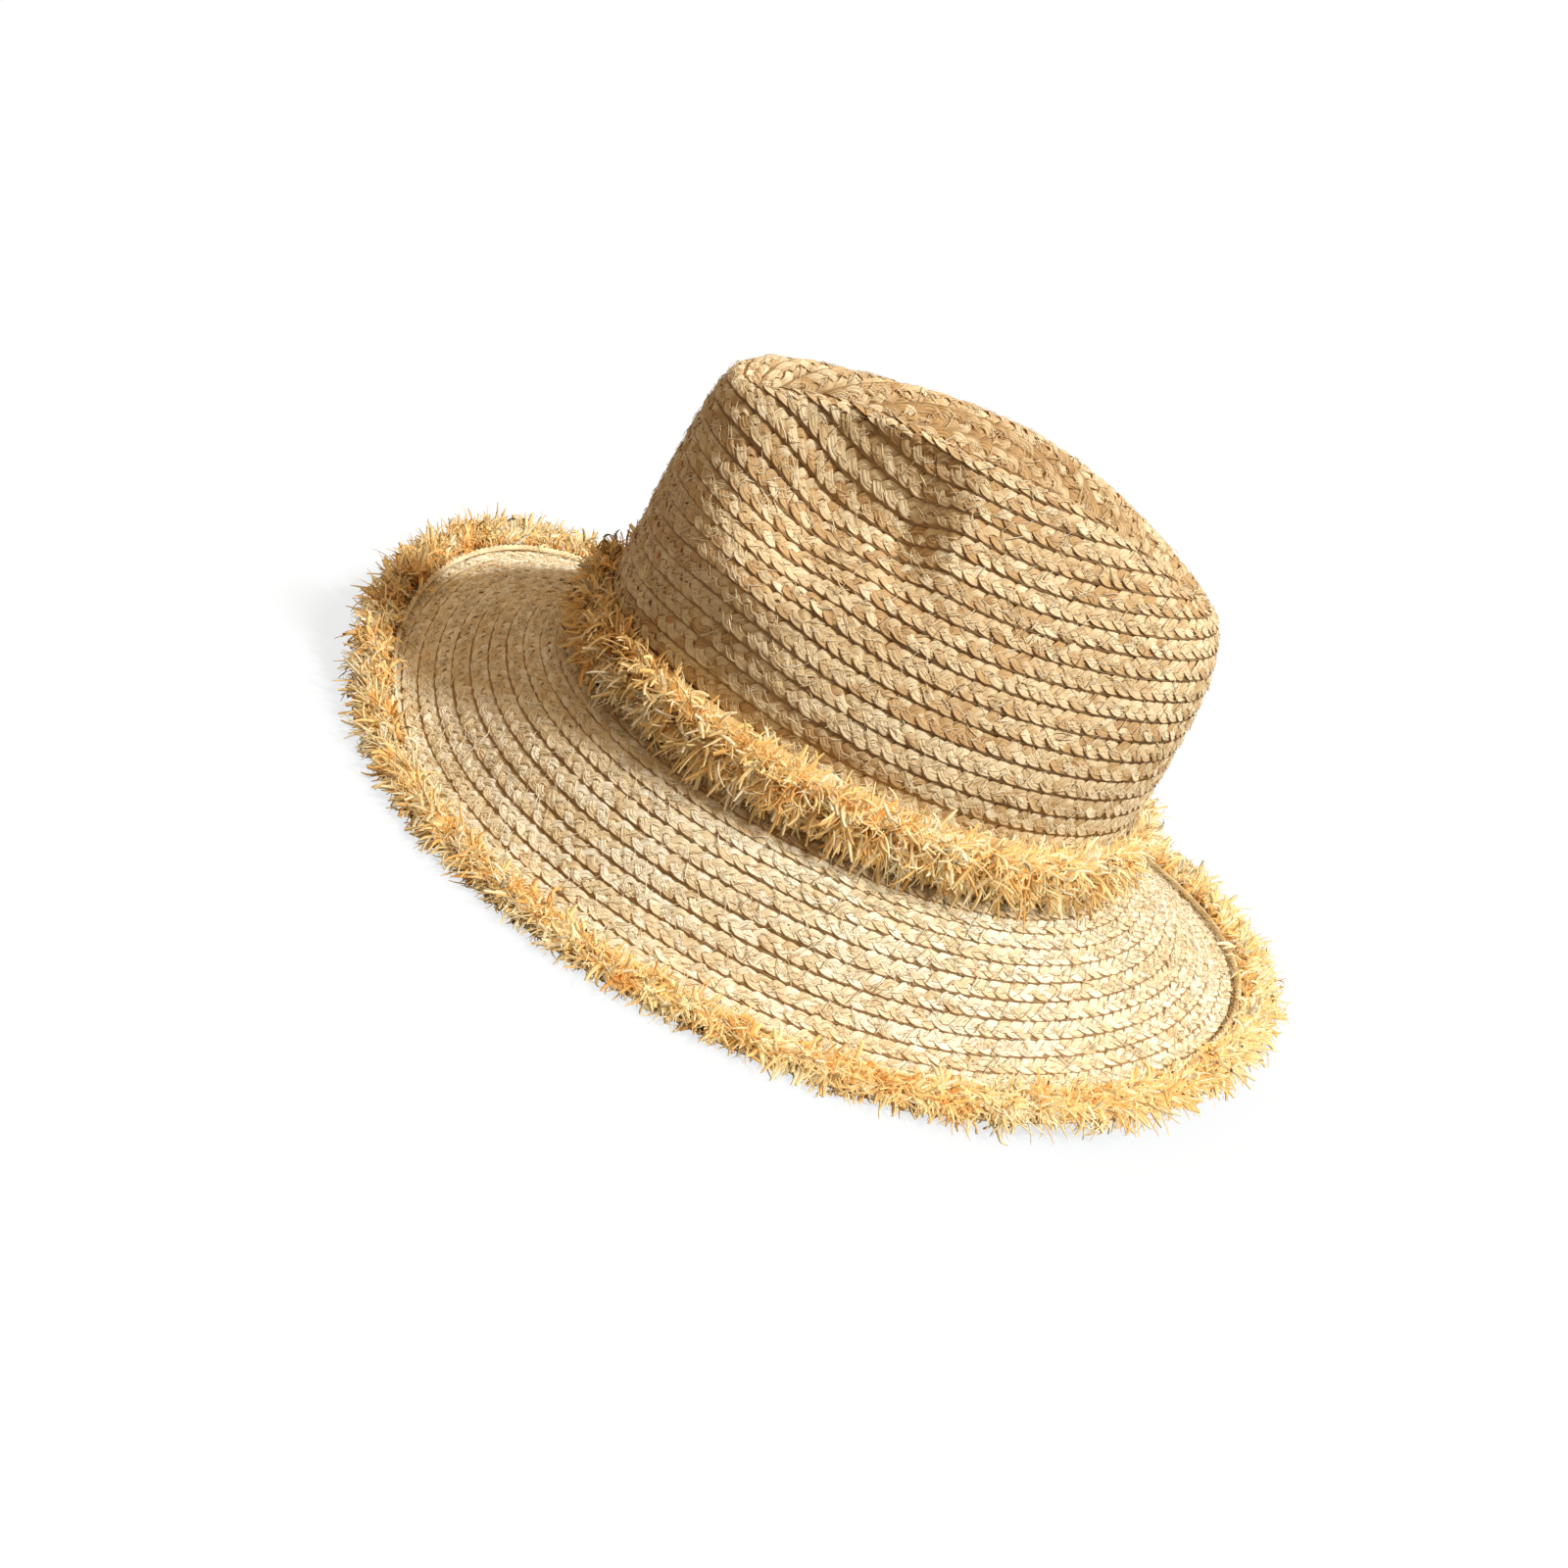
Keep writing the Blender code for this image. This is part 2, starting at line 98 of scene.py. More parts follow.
# Plait: three strands in one spiral from the tip to the edge of the brim
CROWN_ROWS = 24.7
CROWN_PITCH = 7.1 * MM
BRIM_ROWS = 13.8
BRIM_PITCH = 5.65 * MM
HEAD_LINE_EASE = 0.45
PITCH_CHANGE_ROWS = 0.5
BRIM_CHANGE_ROWS = 2.0
FIRST_ROW = -0.5
INNERMOST_ROW = -1.1
EDGE_ROW_INSET = 0.55
LAST_ROW = CROWN_ROWS + BRIM_ROWS - EDGE_ROW_INSET
ROUTE_STEPS_A_TURN = 300
STRANDS = 3
LOBE_PITCH = 5.1 * MM
PLAIT_REPEAT = STRANDS * LOBE_PITCH
PHASE_UNEVEN = 0.22
SWING_SHARE = 0.305
SWING_SHARPNESS = -0.12
SWING_UNEVEN = 0.08
CROSSING_LINE = 0.1
CROSSING_SOFTNESS = 0.3
STRAND_WIDTH_SHARE = 0.50
STRAND_THICKNESS = 0.95 * MM
LAYER_LIFT = 0.46 * MM
LIFT_UNEVEN = 0.13 * MM
EDGE_DIP = 0.03 * MM
ROW_TILT = 0.36 * MM
STRAND_TILT_SHARE = 0.6
ROLL_UNEVEN = 0.14
SEAM_LINE = -0.3
SEAM_HALF_WIDTH = 0.25
SEAM_DIP = 0.18 * MM
PLAIT_DEPTH = 1.1 * MM
BRIM_RELIEF = 0.76
STRAND_STEP = 0.95 * MM
MOST_RINGS = 6000

# Beads: a strand swells where it turns back at the edge of its row
BEAD_PHASE = 0.45
WIDTH_BETWEEN_BEADS = 0.93
BEAD_WIDENS = 0.14
WIDTH_UNEVEN = 0.10
THICKNESS_BETWEEN_BEADS = 0.90
BEAD_THICKENS = 0.36
THICKNESS_UNEVEN = 0.12
GROOVES_BETWEEN_BEADS = 0.75
BEAD_CLOSES_GROOVES = 0.7
GROOVES_UNEVEN = 0.35
BUNDLES_UNEVEN = 0.22
BUNDLES_UNEVEN_ACROSS = 0.5

# Strand section: three bundles of fibres, flatter below
# The grooves between the bundles open where a strand lies flat
SECTION_ACROSS = np.array((
    1.0, 0.95, 0.80, 0.52, 0.38, 0.22, 0.0, -0.22, -0.38, -0.52, -0.80, -0.95, -1.0, -0.55, 0.0, 0.55))
SECTION_FULL = np.array((
    0.0, 0.62, 0.90, 0.98, 1.0, 1.0, 1.0, 1.0, 1.0, 0.98, 0.90, 0.62, 0.0, -0.85, -0.95, -0.85))
SECTION_GROOVED = np.array((
    0.0, 0.62, 0.92, 0.76, 0.50, 0.78, 1.0, 0.78, 0.50, 0.76, 0.92, 0.62, 0.0, -0.85, -0.95, -0.85))

# Painted shade and tone of the strands: colour painted darker between their layers, under the row above and
# along their sides, where shade falls, and less on the brim
SHADED_LEVEL = -0.3 * MM
SHADE_REACH = 0.85 * MM
UNDER_ROW_SHADE_WIDTH_SHARE = 0.85
UNDER_ROW_SHADE_FROM = 0.44
UNDER_ROW_SHADE_TO = 0.55
SIDE_SHADE = 0.9
SIDE_SHADE_FROM = 0.8
SIDE_SHADE_REACH = 0.18
BRIM_DEPTH_SHADE = 0.66
SPLICE_LENGTH = 20.0 * MM
STRAW_TONE_SPREAD = (2.2, 1.8)
STRAW_TONE_UNEVEN = 0.12
# Tone shifts that paint the crown darker and the brim paler: painted shade and painted light
CROWN_TONE_PAINTED_SHADE = -0.30
BRIM_TONE_PAINTED_LIGHT = 0.21
STRAND_GRAIN_OFFSET = 3.7

# Strip that closes the plait between its upper and lower strands, and laps up to the row above
STRIP_STEP = 2.2 * MM
STRIP_THICKNESS = 0.4 * MM
STRIP_SINK = 0.2 * MM
STRIP_FOOT = -0.58
STRIP_BEND = 0.50
STRIP_LAP = 0.62
STRIP_FIRST_LAP = 1.0
STRIP_LIP_DROP = 0.15 * MM
# The strip is painted dark: painted shade deep in the plait
STRIP_TONE = 0.3
STRIP_SHADE = 0.8

# Loose fibres lying on the plait
LOOSE_FIBRES = 12000
FIBRE_STATIONS = 6
FIBRE_LEAST_ROW = 0.5
FIBRE_SLANT_DEG = 38.0
FIBRE_SLANT_UNEVEN_DEG = 16.0
FIBRE_LENGTHS = (3.0 * MM, 7.0 * MM)
FIBRE_ROW_SPREAD = 0.6
FIBRE_BOW = 0.07
FIBRE_LIFTS = (0.1 * MM, 0.4 * MM)
FIBRE_END_SINK = 0.05 * MM
FIBRE_WIDTHS = (0.22 * MM, 0.5 * MM)
FIBRE_FOLD = 0.35
FIBRE_TONE_UNEVEN = 0.2
CROWN_FIBRE_TONE = 0.72
BRIM_FIBRE_TONE = 0.95

# Thread that sews the rows together
ROW_STITCH_PITCH = 5.2 * MM
ROW_STITCH_FIRST_ROW = 0.6
ROW_STITCH_EDGE_LAP = 0.3
ROW_STITCH_SHARES = (0.8, 0.95)
ROW_STITCH_START_UNEVEN = 0.5 * MM
ROW_STITCH_LINE = -0.16
ROW_STITCH_LINE_UNEVEN = 0.025
ROW_STITCH_SLOPE = 0.10
ROW_STITCH_SLOPE_UNEVEN = 0.05
ROW_STITCH_LIFT = 0.1 * MM
ROW_STITCH_LIFT_UNEVEN = 0.08 * MM
ROW_STITCH_DIP = 0.9 * MM
ROW_STITCH_STATIONS = 5
ROW_THREAD_DIAMETER = 0.22 * MM
ROW_THREAD_SIDES = 4

# Blades of raffia in both fringes
BLADE_STATIONS = 7
BLADE_FOLD = 0.22
BLADE_CURL = 1.7
BLADE_WIDTH_POWER = 1.9
BLADE_END_SHARES = (0.35, 0.95)
BLADE_BELLY = 0.25
BLADE_TAPER_POWER = 2.5
BLADE_GIRTH = 2.4
BLADE_GRAIN_OFFSET = 50.0
BLADE_FACING_UNEVEN = 0.6
HULL_SHARE = 0.45
TUFT_PLACE_UNEVEN = 0.25
TUFT_SPREAD = 0.42
TUFT_RISE_UNEVEN_DEG = 10.0
TUFT_TURN_UNEVEN_DEG = 20.0
TUFT_TONE_UNEVEN = 0.20
FRINGE_TONE_SPREAD = (2.2, 1.7)
ROUND_STEPS = 720

# Fringe band round the crown's foot
BAND_FOOT = 0.005
BAND_HEIGHT = 0.018
BAND_THICKNESS = 0.0015
SEAM_GAP = 0.0003
BAND_TUFT_PITCH = 4.2 * MM
BAND_TUFT_BLADES = 38
BAND_ROOT_HEIGHTS = (-1.0 * MM, 6.0 * MM)
BAND_ROOT_OUTS = (0.4 * MM, 4.0 * MM)
BAND_UPPER_RISE_DEG = 56.0
BAND_LOWER_RISE_DEG = 46.0
BAND_RISE_UNEVEN_DEG = 28.0
BAND_RISE_LIMITS_DEG = (-25.0, 88.0)
BAND_TURN_UNEVEN_DEG = 46.0
BAND_BLADE_LENGTHS = (6.0 * MM, 12.5 * MM)
BAND_TUFT_LENGTH_SHARES = (0.85, 1.15)
BAND_DROOPS = (0.06, 0.18)
BAND_BLADE_WIDTHS = (0.45 * MM, 2.0 * MM)
BAND_FACING_UP = 0.7
BAND_HULL_OUT = 0.6
BAND_HULL_UP = 0.4
BAND_STITCHES = 130
BAND_STITCH_LIFT = 0.4 * MM

# Fringe along the brim's edge
EDGE_TAPE_WIDTH = 0.0105
EDGE_TUFT_PITCH = 4.4 * MM
EDGE_TUFT_BLADES = 34
EDGE_INSET_UNEVEN = 1.2 * MM
EDGE_ROOT_HEIGHTS = (0.5 * MM, 3.5 * MM)
EDGE_RISE_UNEVEN_DEG = 22.0
EDGE_RISE_LIMITS_DEG = (-6.0, 118.0)
EDGE_TURN_UNEVEN_DEG = 40.0
EDGE_TUFT_LENGTH_SHARES = (0.86, 1.14)
EDGE_DROOPS = (0.05, 0.18)
EDGE_LOWEST = (0.8 * MM, 2.0 * MM)
EDGE_BLADE_WIDTHS = (0.45 * MM, 2.1 * MM)
EDGE_FACING_UP = 1.2
EDGE_HULL_OUT = 0.3
EDGE_HULL_UP = 0.8

# Twisted cord along the inner border of the brim's fringe
HEADER_DIAMETER = 0.0022
CORD_STEPS = 1400
CORD_PLIES = 3
CORD_TWISTS = 120
CORD_PLY_SHARE = 0.27
CORD_SIDES = 8
CORD_TONE = 0.55
CORD_GRAIN_RUN = 0.16

# Sweatband and running stitches
RIBBON_HEIGHT = 0.030
RIBBON_FOOT = 0.0010
RIBBON_CLEARANCE = 1.1 * MM
RIBBON_THICKNESS = 0.8 * MM
RIBBON_RIBS = 530
RIB_HEIGHT = 0.05 * MM
RIBBON_LINES = 9
RIBBON_STITCHES = 106
RIBBON_STITCH_LIFT = -0.35 * MM
RING_GRAIN_RUN = 0.6
RING_GRAIN_STEP = 1.0 * MM
THREAD_DIAMETER = 0.0008
THREAD_HEIGHT = 0.0050
THREAD_SIDES = 6
STITCH_SHARE = 0.62
STITCH_STATIONS = 7

# Grain of the materials, in lengths to a metre across, up and along
BROAD_FIBRES = (1500.0, 1500.0, 60.0)
FINE_FIBRES = (3200.0, 3200.0, 130.0)
FINE_FIBRE_SHARE = 0.6
FIBRE_SHADE_RANGE = (0.32, 0.68)
FLECK_RANGE = (0.58, 0.72)
FLECK_STRENGTH = 0.22
RAFFIA_BUMP = (0.7, 0.4 * MM)
MATT_SPECULAR = 0.05
FRINGE_CLEARNESS = 0.85
WEAVE_RANGE = (0.42, 0.68)
UNEVEN_GRAIN = (60.0, 60.0, 25.0)
WEAVE_BUMP = (0.6, 0.3 * MM)
TAPE_WEAVE = ((1200.0, 1200.0, 80.0), (60.0, 60.0, 1200.0))
RIBBON_WEAVE = ((30.0, 30.0, 1500.0), (2600.0, 2600.0, 150.0))
THREAD_WEAVE = ((3000.0, 3000.0, 300.0), (3000.0, 3000.0, 900.0))

# Floor and light
FLOOR_HALF = 12.0
FLOOR_GREY = (0.16, 0.16, 0.16, 1.0)
FLOOR_SEEN_COLOUR = (0.97, 0.99, 1.0, 1.0)
FLOOR_SEEN_STRENGTH = 0.80
WORLD_LIGHT = (0.17, 0.105, 0.065)
WHITE = (1.0, 1.0, 1.0)

# Camera: where it looks from, in the frame's own directions
CAMERA_AZIMUTH_DEG = 73.92
CAMERA_ELEVATION_DEG = 25.96
CAMERA_ROLL_DEG = 26.50
CAMERA_DISTANCE = 1.25
CAMERA_AIM = (0.0194, -0.0237, 0.0331)
CAMERA_LENS_MM = 84.15
CAMERA_SENSOR_MM = 36.0
CAMERA_REACH = 60.0


def unit(vectors):
    return vectors / np.maximum(np.linalg.norm(vectors, axis=-1, keepdims=True), 1e-12)


def lengths_along(points):
    """The length along a line to each of its points."""
    steps = np.linalg.norm(np.diff(points, axis=0), axis=-1)
    return np.concatenate(((0.0,), np.cumsum(steps)))


def join_axes(x, y, z):
    return np.stack(np.broadcast_arrays(x, y, z), axis=-1).astype(float)


def ease(x):
    x = np.clip(x, 0.0, 1.0)
    return x * x * (3.0 - 2.0 * x)


def turn_between(a, b):
    return np.abs((a - b + pi) % TURN - pi)


def swell(angle, height, centre_deg, half_deg):
    """One smooth hump round the hat."""
    share = np.minimum(turn_between(angle, radians(centre_deg)) / radians(half_deg), 1.0)
    return height * np.cos(share * pi / 2.0) ** 2


def between(rng, limits, shape):
    """Even random numbers between two limits."""
    low, high = limits
    return low + (high - low) * rng.random(shape)


def smooth_noise(rng, shape, reach):
    """Even random numbers about -1 to 1, smoothed over a reach of steps along the first axis."""
    raw = rng.standard_normal(shape)
    kernel = np.hanning(2 * reach + 1)
    kernel /= np.sqrt((kernel ** 2).sum())
    columns = raw.reshape(len(raw), -1)
    soft = [np.convolve(column, kernel, mode="same") for column in columns.T]
    size = 0.6
    most = 1.5
    return np.clip(np.array(soft).T.reshape(shape) * size, -most, most)


# Hat surface

def head_oval(angle):
    return join_axes(CROWN_WIDTH / 2.0 * np.sin(angle), -CROWN_LENGTH / 2.0 * np.cos(angle), 0.0)


def oval_normal(angle):
    return unit(join_axes(np.sin(angle) / CROWN_WIDTH, -np.cos(angle) / CROWN_LENGTH, 0.0))


def front_share(angle):
    return np.maximum(np.cos(angle), 0.0)


def back_share(angle):
    return np.maximum(-np.cos(angle), 0.0)


def ridge_point(angle):
    """The crown's highest line, which runs round the crease."""
    front = front_share(angle)
    width = RIDGE_HALF_WIDTH * (1.0 - RIDGE_PINCH_SHARE * (2.0 * front * np.sin(angle)) ** 2)
    length = np.where(np.cos(angle) > 0.0, RIDGE_FRONT, RIDGE_BACK)
    height = CROWN_HEIGHT - RIDGE_FRONT_DROP * front ** 4 - RIDGE_BACK_DROP * back_share(angle) ** 2
    return join_axes(width * np.sin(angle), -length * np.cos(angle), height)


def floor_point(angle):
    """The long narrow oval at the bottom of the crease."""
    length = np.where(np.cos(angle) > 0.0, CREASE_FLOOR_FRONT, CREASE_FLOOR_BACK)
    height = CROWN_HEIGHT - CREASE_DEPTH
    return join_axes(CREASE_FLOOR_HALF_WIDTH * np.sin(angle), -length * np.cos(angle), height)


def wall_line(angle, share):
    ridge = ridge_point(angle)
    more_front = (FRONT_BULGE - SIDE_BULGE) * front_share(angle) ** 4
    more_back = (BACK_BULGE - SIDE_BULGE) * back_share(angle) ** 4
    upright = UPRIGHT_FOOT / ridge[..., 2]
    leaning = np.maximum((share - upright) / (1.0 - upright), 0.0) ** (SIDE_BULGE + more_front + more_back)
    foot = head_oval(angle)
    point = foot + (ridge - foot) * leaning[..., None]
    point[..., 2] = ridge[..., 2] * share
    return point


def crease_line(angle, share):
    ridge = ridge_point(angle)
    floor = floor_point(angle)
    power = CREASE_SIDE_POWER + (CREASE_END_POWER - CREASE_SIDE_POWER) * np.cos(angle) ** 2
    point = ridge + (floor - ridge) * share[..., None]
    point[..., 2] = floor[..., 2] + (ridge[..., 2] - floor[..., 2]) * (1.0 - share) ** power
    return point


def eased_corner(start, corner, stop, share):
    """A curve from start to stop that leaves and arrives in line with the corner between them."""
    return start * (1.0 - share) ** 2 + corner * 2.0 * share * (1.0 - share) + stop * share ** 2


def crown_line(angle, place):
    """The crown without its pinch: place 0 to 1 goes up the wall, 1 to 2 down into the crease."""
    start = 1.0 - RIDGE_WALL_EASE
    stop = 1.0 + RIDGE_CREASE_EASE
    share = np.clip((place - start) / (stop - start), 0.0, 1.0)[..., None]
    wall = wall_line(angle, np.minimum(place, start))
    crease = crease_line(angle, np.maximum(place, stop) - 1.0)
    return eased_corner(wall, ridge_point(angle), crease, share)


class CrownProfile:
    """Places at even shares of the length of the crown's outline, for every angle."""
    turn_steps = 720
    share_steps = 400
    samples = 480

    def __init__(self):
        angles = np.linspace(0.0, TURN, self.turn_steps + 1)
        places = np.linspace(0.0, 2.0, self.samples + 1)
        lines = crown_line(*np.broadcast_arrays(angles[:, None], places[None, :]))
        steps = np.linalg.norm(np.diff(lines, axis=1), axis=-1)
        lengths = np.pad(np.cumsum(steps, axis=1), ((0, 0), (1, 0)))
        shares = np.linspace(0.0, 1.0, self.share_steps + 1)
        self.table = np.array([np.interp(shares, run / run[-1], places) for run in lengths])

    def place(self, angle, share):
        row = (angle % TURN) / TURN * self.turn_steps
        column = np.clip(share, 0.0, 1.0) * self.share_steps
        i = np.minimum(row.astype(int), self.turn_steps - 1)
        j = np.minimum(column.astype(int), self.share_steps - 1)
        row = row - i
        column = column - j
        low = self.table[i, j] * (1.0 - column) + self.table[i, j + 1] * column
        high = self.table[i + 1, j] * (1.0 - column) + self.table[i + 1, j + 1] * column
        return low * (1.0 - row) + high * row


def pinch(angle, place):
    """How far the front of the crown is pressed in: deepest at PINCH_DEG, with a sharp lip behind."""
    turn = turn_between(angle, 0.0)
    middle = radians(PINCH_DEG)
    edge = radians(PINCH_EDGE_DEG)
    lip = radians(PINCH_LIP_DEG)
    behind = ease((turn - middle) / (edge - middle))
    round_share = ease(turn / middle) * (1.0 - PINCH_EDGE_LOSS * behind) * ease((lip - turn) / (lip - edge))
    foot = PINCH_FOOT_SHARE + (PINCH_LIP_FOOT_SHARE - PINCH_FOOT_SHARE) * behind
    below = ease((place - foot) / (PINCH_FULL_SHARE - foot))
    above = ease((1.0 - place) / (1.0 - PINCH_FULL_SHARE))
    return PINCH_DEPTH * round_share * below * above


def crown_point(angle, place):
    """Outer face of the crown, creased along the top and pinched at the front."""
    level = oval_normal(angle)
    shares = np.array((1.0, PINCH_LENGTHWISE_SHARE, 0.0))
    push = level * shares + np.array((0.0, 0.0, PINCH_DOWN_SHARE))
    return crown_line(angle, place) - push * pinch(angle, place)[..., None]


def head_line_height():
    return BRIM_WIDTH * sin(radians(BRIM_SLOPE_DEG)) + STRAW_THICKNESS


def lean(vectors):
    towards = radians(CROWN_LEAN_TOWARDS_DEG)
    axis = Vector((cos(towards), sin(towards), 0.0))
    return vectors @ np.array(Matrix.Rotation(radians(CROWN_LEAN_DEG), 3, axis)).T


def stand(points):
    """Points of the upright crown, head line at height 0, set where the hat stands."""
    return lean(points) + np.array((0.0, 0.0, head_line_height()))


def brim_line(angle):
    start = stand(head_oval(angle))
    low = swell(angle, *BACK_RISE) + swell(angle, *FRONT_RISE)
    fall = start[..., 2] - low - STRAW_THICKNESS
    run = np.sqrt(BRIM_WIDTH ** 2 - fall ** 2)
    return start, fall, run


def brim_surface(angle, out_share, beyond=0.0):
    """The brim's upper face, at a share of its run from the head line, or beyond the edge."""
    start, fall, run = brim_line(angle)
    out = run * out_share + beyond
    share = np.minimum(out / (run - EDGE_FLAT), 1.0)
    point = start + oval_normal(angle) * out[..., None]
    point[..., 2] = start[..., 2] - fall * (share - BRIM_SWAY * np.sin(TURN * share))
    return point


def brim_inset(angle, inset):
    run = brim_line(angle)[2]
    return brim_surface(angle, 1.0 - inset / run)


def crown_surface(angle, row):
    """The crown at a row; rows below 0 close the oval in the crease and lap over its middle."""
    point = crown_point(angle, PROFILE.place(angle, 1.0 - row / CROWN_ROWS))
    closing = np.maximum(-row, 0.0) * CROWN_PITCH / CREASE_FLOOR_HALF_WIDTH
    point[..., 0] *= 1.0 - closing
    return stand(point)


def hat_surface(angle, row):
    """The outer face of the whole hat, with the corner at the head line eased."""
    share = np.clip((row - CROWN_ROWS) / (2.0 * HEAD_LINE_EASE) + 0.5, 0.0, 1.0)[..., None]
    above = crown_surface(angle, np.minimum(row, CROWN_ROWS - HEAD_LINE_EASE))
    below = brim_surface(angle, (np.maximum(row, CROWN_ROWS + HEAD_LINE_EASE) - CROWN_ROWS) / BRIM_ROWS)
    return eased_corner(above, stand(head_oval(angle)), below, share)


def hat_normal(angle, row):
    turn = 0.004
    step = 0.03
    least_row = 0.1
    row = np.maximum(row, least_row)
    along = hat_surface(angle + turn, row) - hat_surface(angle - turn, row)
    down = hat_surface(angle, row + step) - hat_surface(angle, row - step)
    return unit(np.cross(down, along))


PROFILE = CrownProfile()


def hat_place():
    """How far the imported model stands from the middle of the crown's foot."""
    edge = brim_surface(np.arange(CAD_ROUND_STEPS) * TURN / CAD_ROUND_STEPS, np.ones(CAD_ROUND_STEPS))
    low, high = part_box("brim")
    middle = (edge.min(axis=0) + edge.max(axis=0)) / 2.0
    return np.array([(low[i] + high[i]) / 2.0 - middle[i] for i in range(2)] + [0.0])


PLACE = hat_place()


# Meshes

def bake_map(mesh, tubes, segments, sides, caps, shape):
    """A flat map with a cell for every face: rows of segments, each as many cells high as it has sides."""
    total = tubes * segments
    columns = max(int(np.ceil(np.sqrt(total * shape))), 1)
    rows = int(np.ceil(total / columns)) + 1
    order = np.arange(total)
    left = ((order % columns) / columns)[:, None]
    filled = 0.95
    low = ((order // columns)[:, None] + filled * np.arange(sides)[None, :] / sides) / rows
    right = left + 1.0 / columns
    high = low + filled / sides / rows
    left = np.broadcast_to(left, low.shape)
    right = np.broadcast_to(right, low.shape)
    cells = np.stack((left, low, left, high, right, high, right, low), axis=-1).reshape(-1, 2)
    if caps:
        turn = np.arange(sides) * TURN / sides
        cap_radius = 0.4
        disc = cap_radius * np.stack((np.cos(turn), np.sin(turn)), axis=-1)
        spots = np.stack((np.arange(caps) + 0.5, np.full(caps, 0.5)), axis=-1)
        last_row = np.array((0.0, (rows - 1) / rows))
        ends = (spots[:, None, :] + disc[None]) / np.array((caps, rows)) + last_row
        cells = np.concatenate((cells, ends.reshape(-1, 2)))
    layer = mesh.uv_layers.new(name="OFBake")
    layer.data.foreach_set("uv", cells.astype(np.float32).ravel())


def tube_piece(name, rings, material, closed=False, smooth=True, shape=1.0, **values):
    """One mesh of many closed tubes.  Rings: tubes x rings x sides x 3, run round or capped at both ends.

    Shape is a segment's girth over its length, for the bake map.  Values are kept on the points
    for the materials: one number or three for each.
    """
    tubes, count, sides, _ = rings.shape
    index = np.arange(tubes * count * sides).reshape(tubes, count, sides)
    here = index if closed else index[:, :-1]
    there = np.roll(index, -1, axis=1) if closed else index[:, 1:]
    quads = np.stack((here, np.roll(here, -1, axis=2), np.roll(there, -1, axis=2), there), axis=-1)
    segments = quads.shape[1]
    quads = quads.reshape(-1, 4)
    caps = np.zeros((0, sides), dtype=int)
    if not closed:
        caps = np.concatenate((index[:, 0, ::-1], index[:, -1]))
    mesh = bpy.data.meshes.new(name)
    mesh.vertices.add(index.size)
    mesh.vertices.foreach_set("co", (rings + PLACE).astype(np.float32).ravel())
    mesh.loops.add(quads.size + caps.size)
    mesh.loops.foreach_set("vertex_index", np.concatenate((quads.ravel(), caps.ravel())).astype(np.int32))
    starts = np.concatenate((np.arange(len(quads)) * 4, quads.size + np.arange(len(caps)) * sides))
    mesh.polygons.add(len(starts))
    mesh.polygons.foreach_set("loop_start", starts.astype(np.int32))
    bake_map(mesh, tubes, segments, sides, len(caps), shape)
    for key, value in values.items():
        wide = value.ndim == 4
        kind = "FLOAT_VECTOR" if wide else "FLOAT"
        layer = mesh.attributes.new(key, kind, "POINT")
        full = np.broadcast_to(value, rings.shape if wide else rings.shape[:3])
        layer.data.foreach_set("vector" if wide else "value", full.astype(np.float32).ravel())
    mesh.update(calc_edges=True)
    mesh.validate()
    if smooth:
        mesh.shade_smooth()
    mesh.materials.append(material)
    piece = bpy.data.objects.new(name, mesh)
    bpy.context.scene.collection.objects.link(piece)
    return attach(piece, "root") or piece


def round_section(diameter, sides):
    """Places across and up round a thread or ply."""
    turn = np.arange(sides) * TURN / sides
    return diameter / 2.0 * np.cos(turn), diameter / 2.0 * np.sin(turn)


def join_place(across, up, run):
    """The place on a strand, thread or band that its material reads: across, up and along."""
    return np.stack(np.broadcast_arrays(across, up, run), axis=-1)


def same(value):
    """One value for every point of a piece."""
    return np.full((1, 1, 1), value)


def section_rings(points, across, up, section_across, section_up):
    """Rings of a section set across and up from each point of each tube."""
    return (
        points[..., None, :]
        + across[..., None, :] * section_across[..., None]
        + up[..., None, :] * section_up[..., None]
    )


# Materials

def add_node(tree, kind, **settings):
    node = tree.nodes.new(kind)
    for key, value in settings.items():
        setattr(node, key, value)
    return node


def colour_ramp(tree, factor, stops):
    ramp = add_node(tree, "ShaderNodeValToRGB")
    for position, colour in stops[1:-1]:
        ramp.color_ramp.elements.new(position).color = (*colour, 1.0)
    ramp.color_ramp.elements[0].position, first = stops[0]
    ramp.color_ramp.elements[0].color = (*first, 1.0)
    ramp.color_ramp.elements[-1].position, last = stops[-1]
    ramp.color_ramp.elements[-1].color = (*last, 1.0)
    tree.links.new(factor, ramp.inputs["Fac"])
    return ramp.outputs["Color"]


def map_range(tree, value, low, high, to_low, to_high):
    node = add_node(tree, "ShaderNodeMapRange")
    for key, number in (("From Min", low), ("From Max", high), ("To Min", to_low), ("To Max", to_high)):
        node.inputs[key].default_value = number
    tree.links.new(value, node.inputs["Value"])
    return node.outputs["Result"]


def multiply_colour(tree, colour, shade):
    node = add_node(tree, "ShaderNodeMix", data_type="RGBA", blend_type="MULTIPLY")
    node.inputs["Factor"].default_value = 1.0
    tree.links.new(colour, node.inputs[6])
    tree.links.new(shade, node.inputs[7])
    return node.outputs[2]


def stretched_noise(tree, place, stretch, detail):
    """Noise at a place; the stretch is a constant or another node's output."""
    scale = add_node(tree, "ShaderNodeVectorMath", operation="MULTIPLY")
    if isinstance(stretch, bpy.types.NodeSocket):
        tree.links.new(stretch, scale.inputs[1])
    else:
        scale.inputs[1].default_value = stretch
    tree.links.new(place, scale.inputs[0])
    noise = add_node(tree, "ShaderNodeTexNoise")
    noise.inputs["Scale"].default_value = 1.0
    noise.inputs["Detail"].default_value = detail
    tree.links.new(scale.outputs["Vector"], noise.inputs["Vector"])
    return noise.outputs["Fac"]


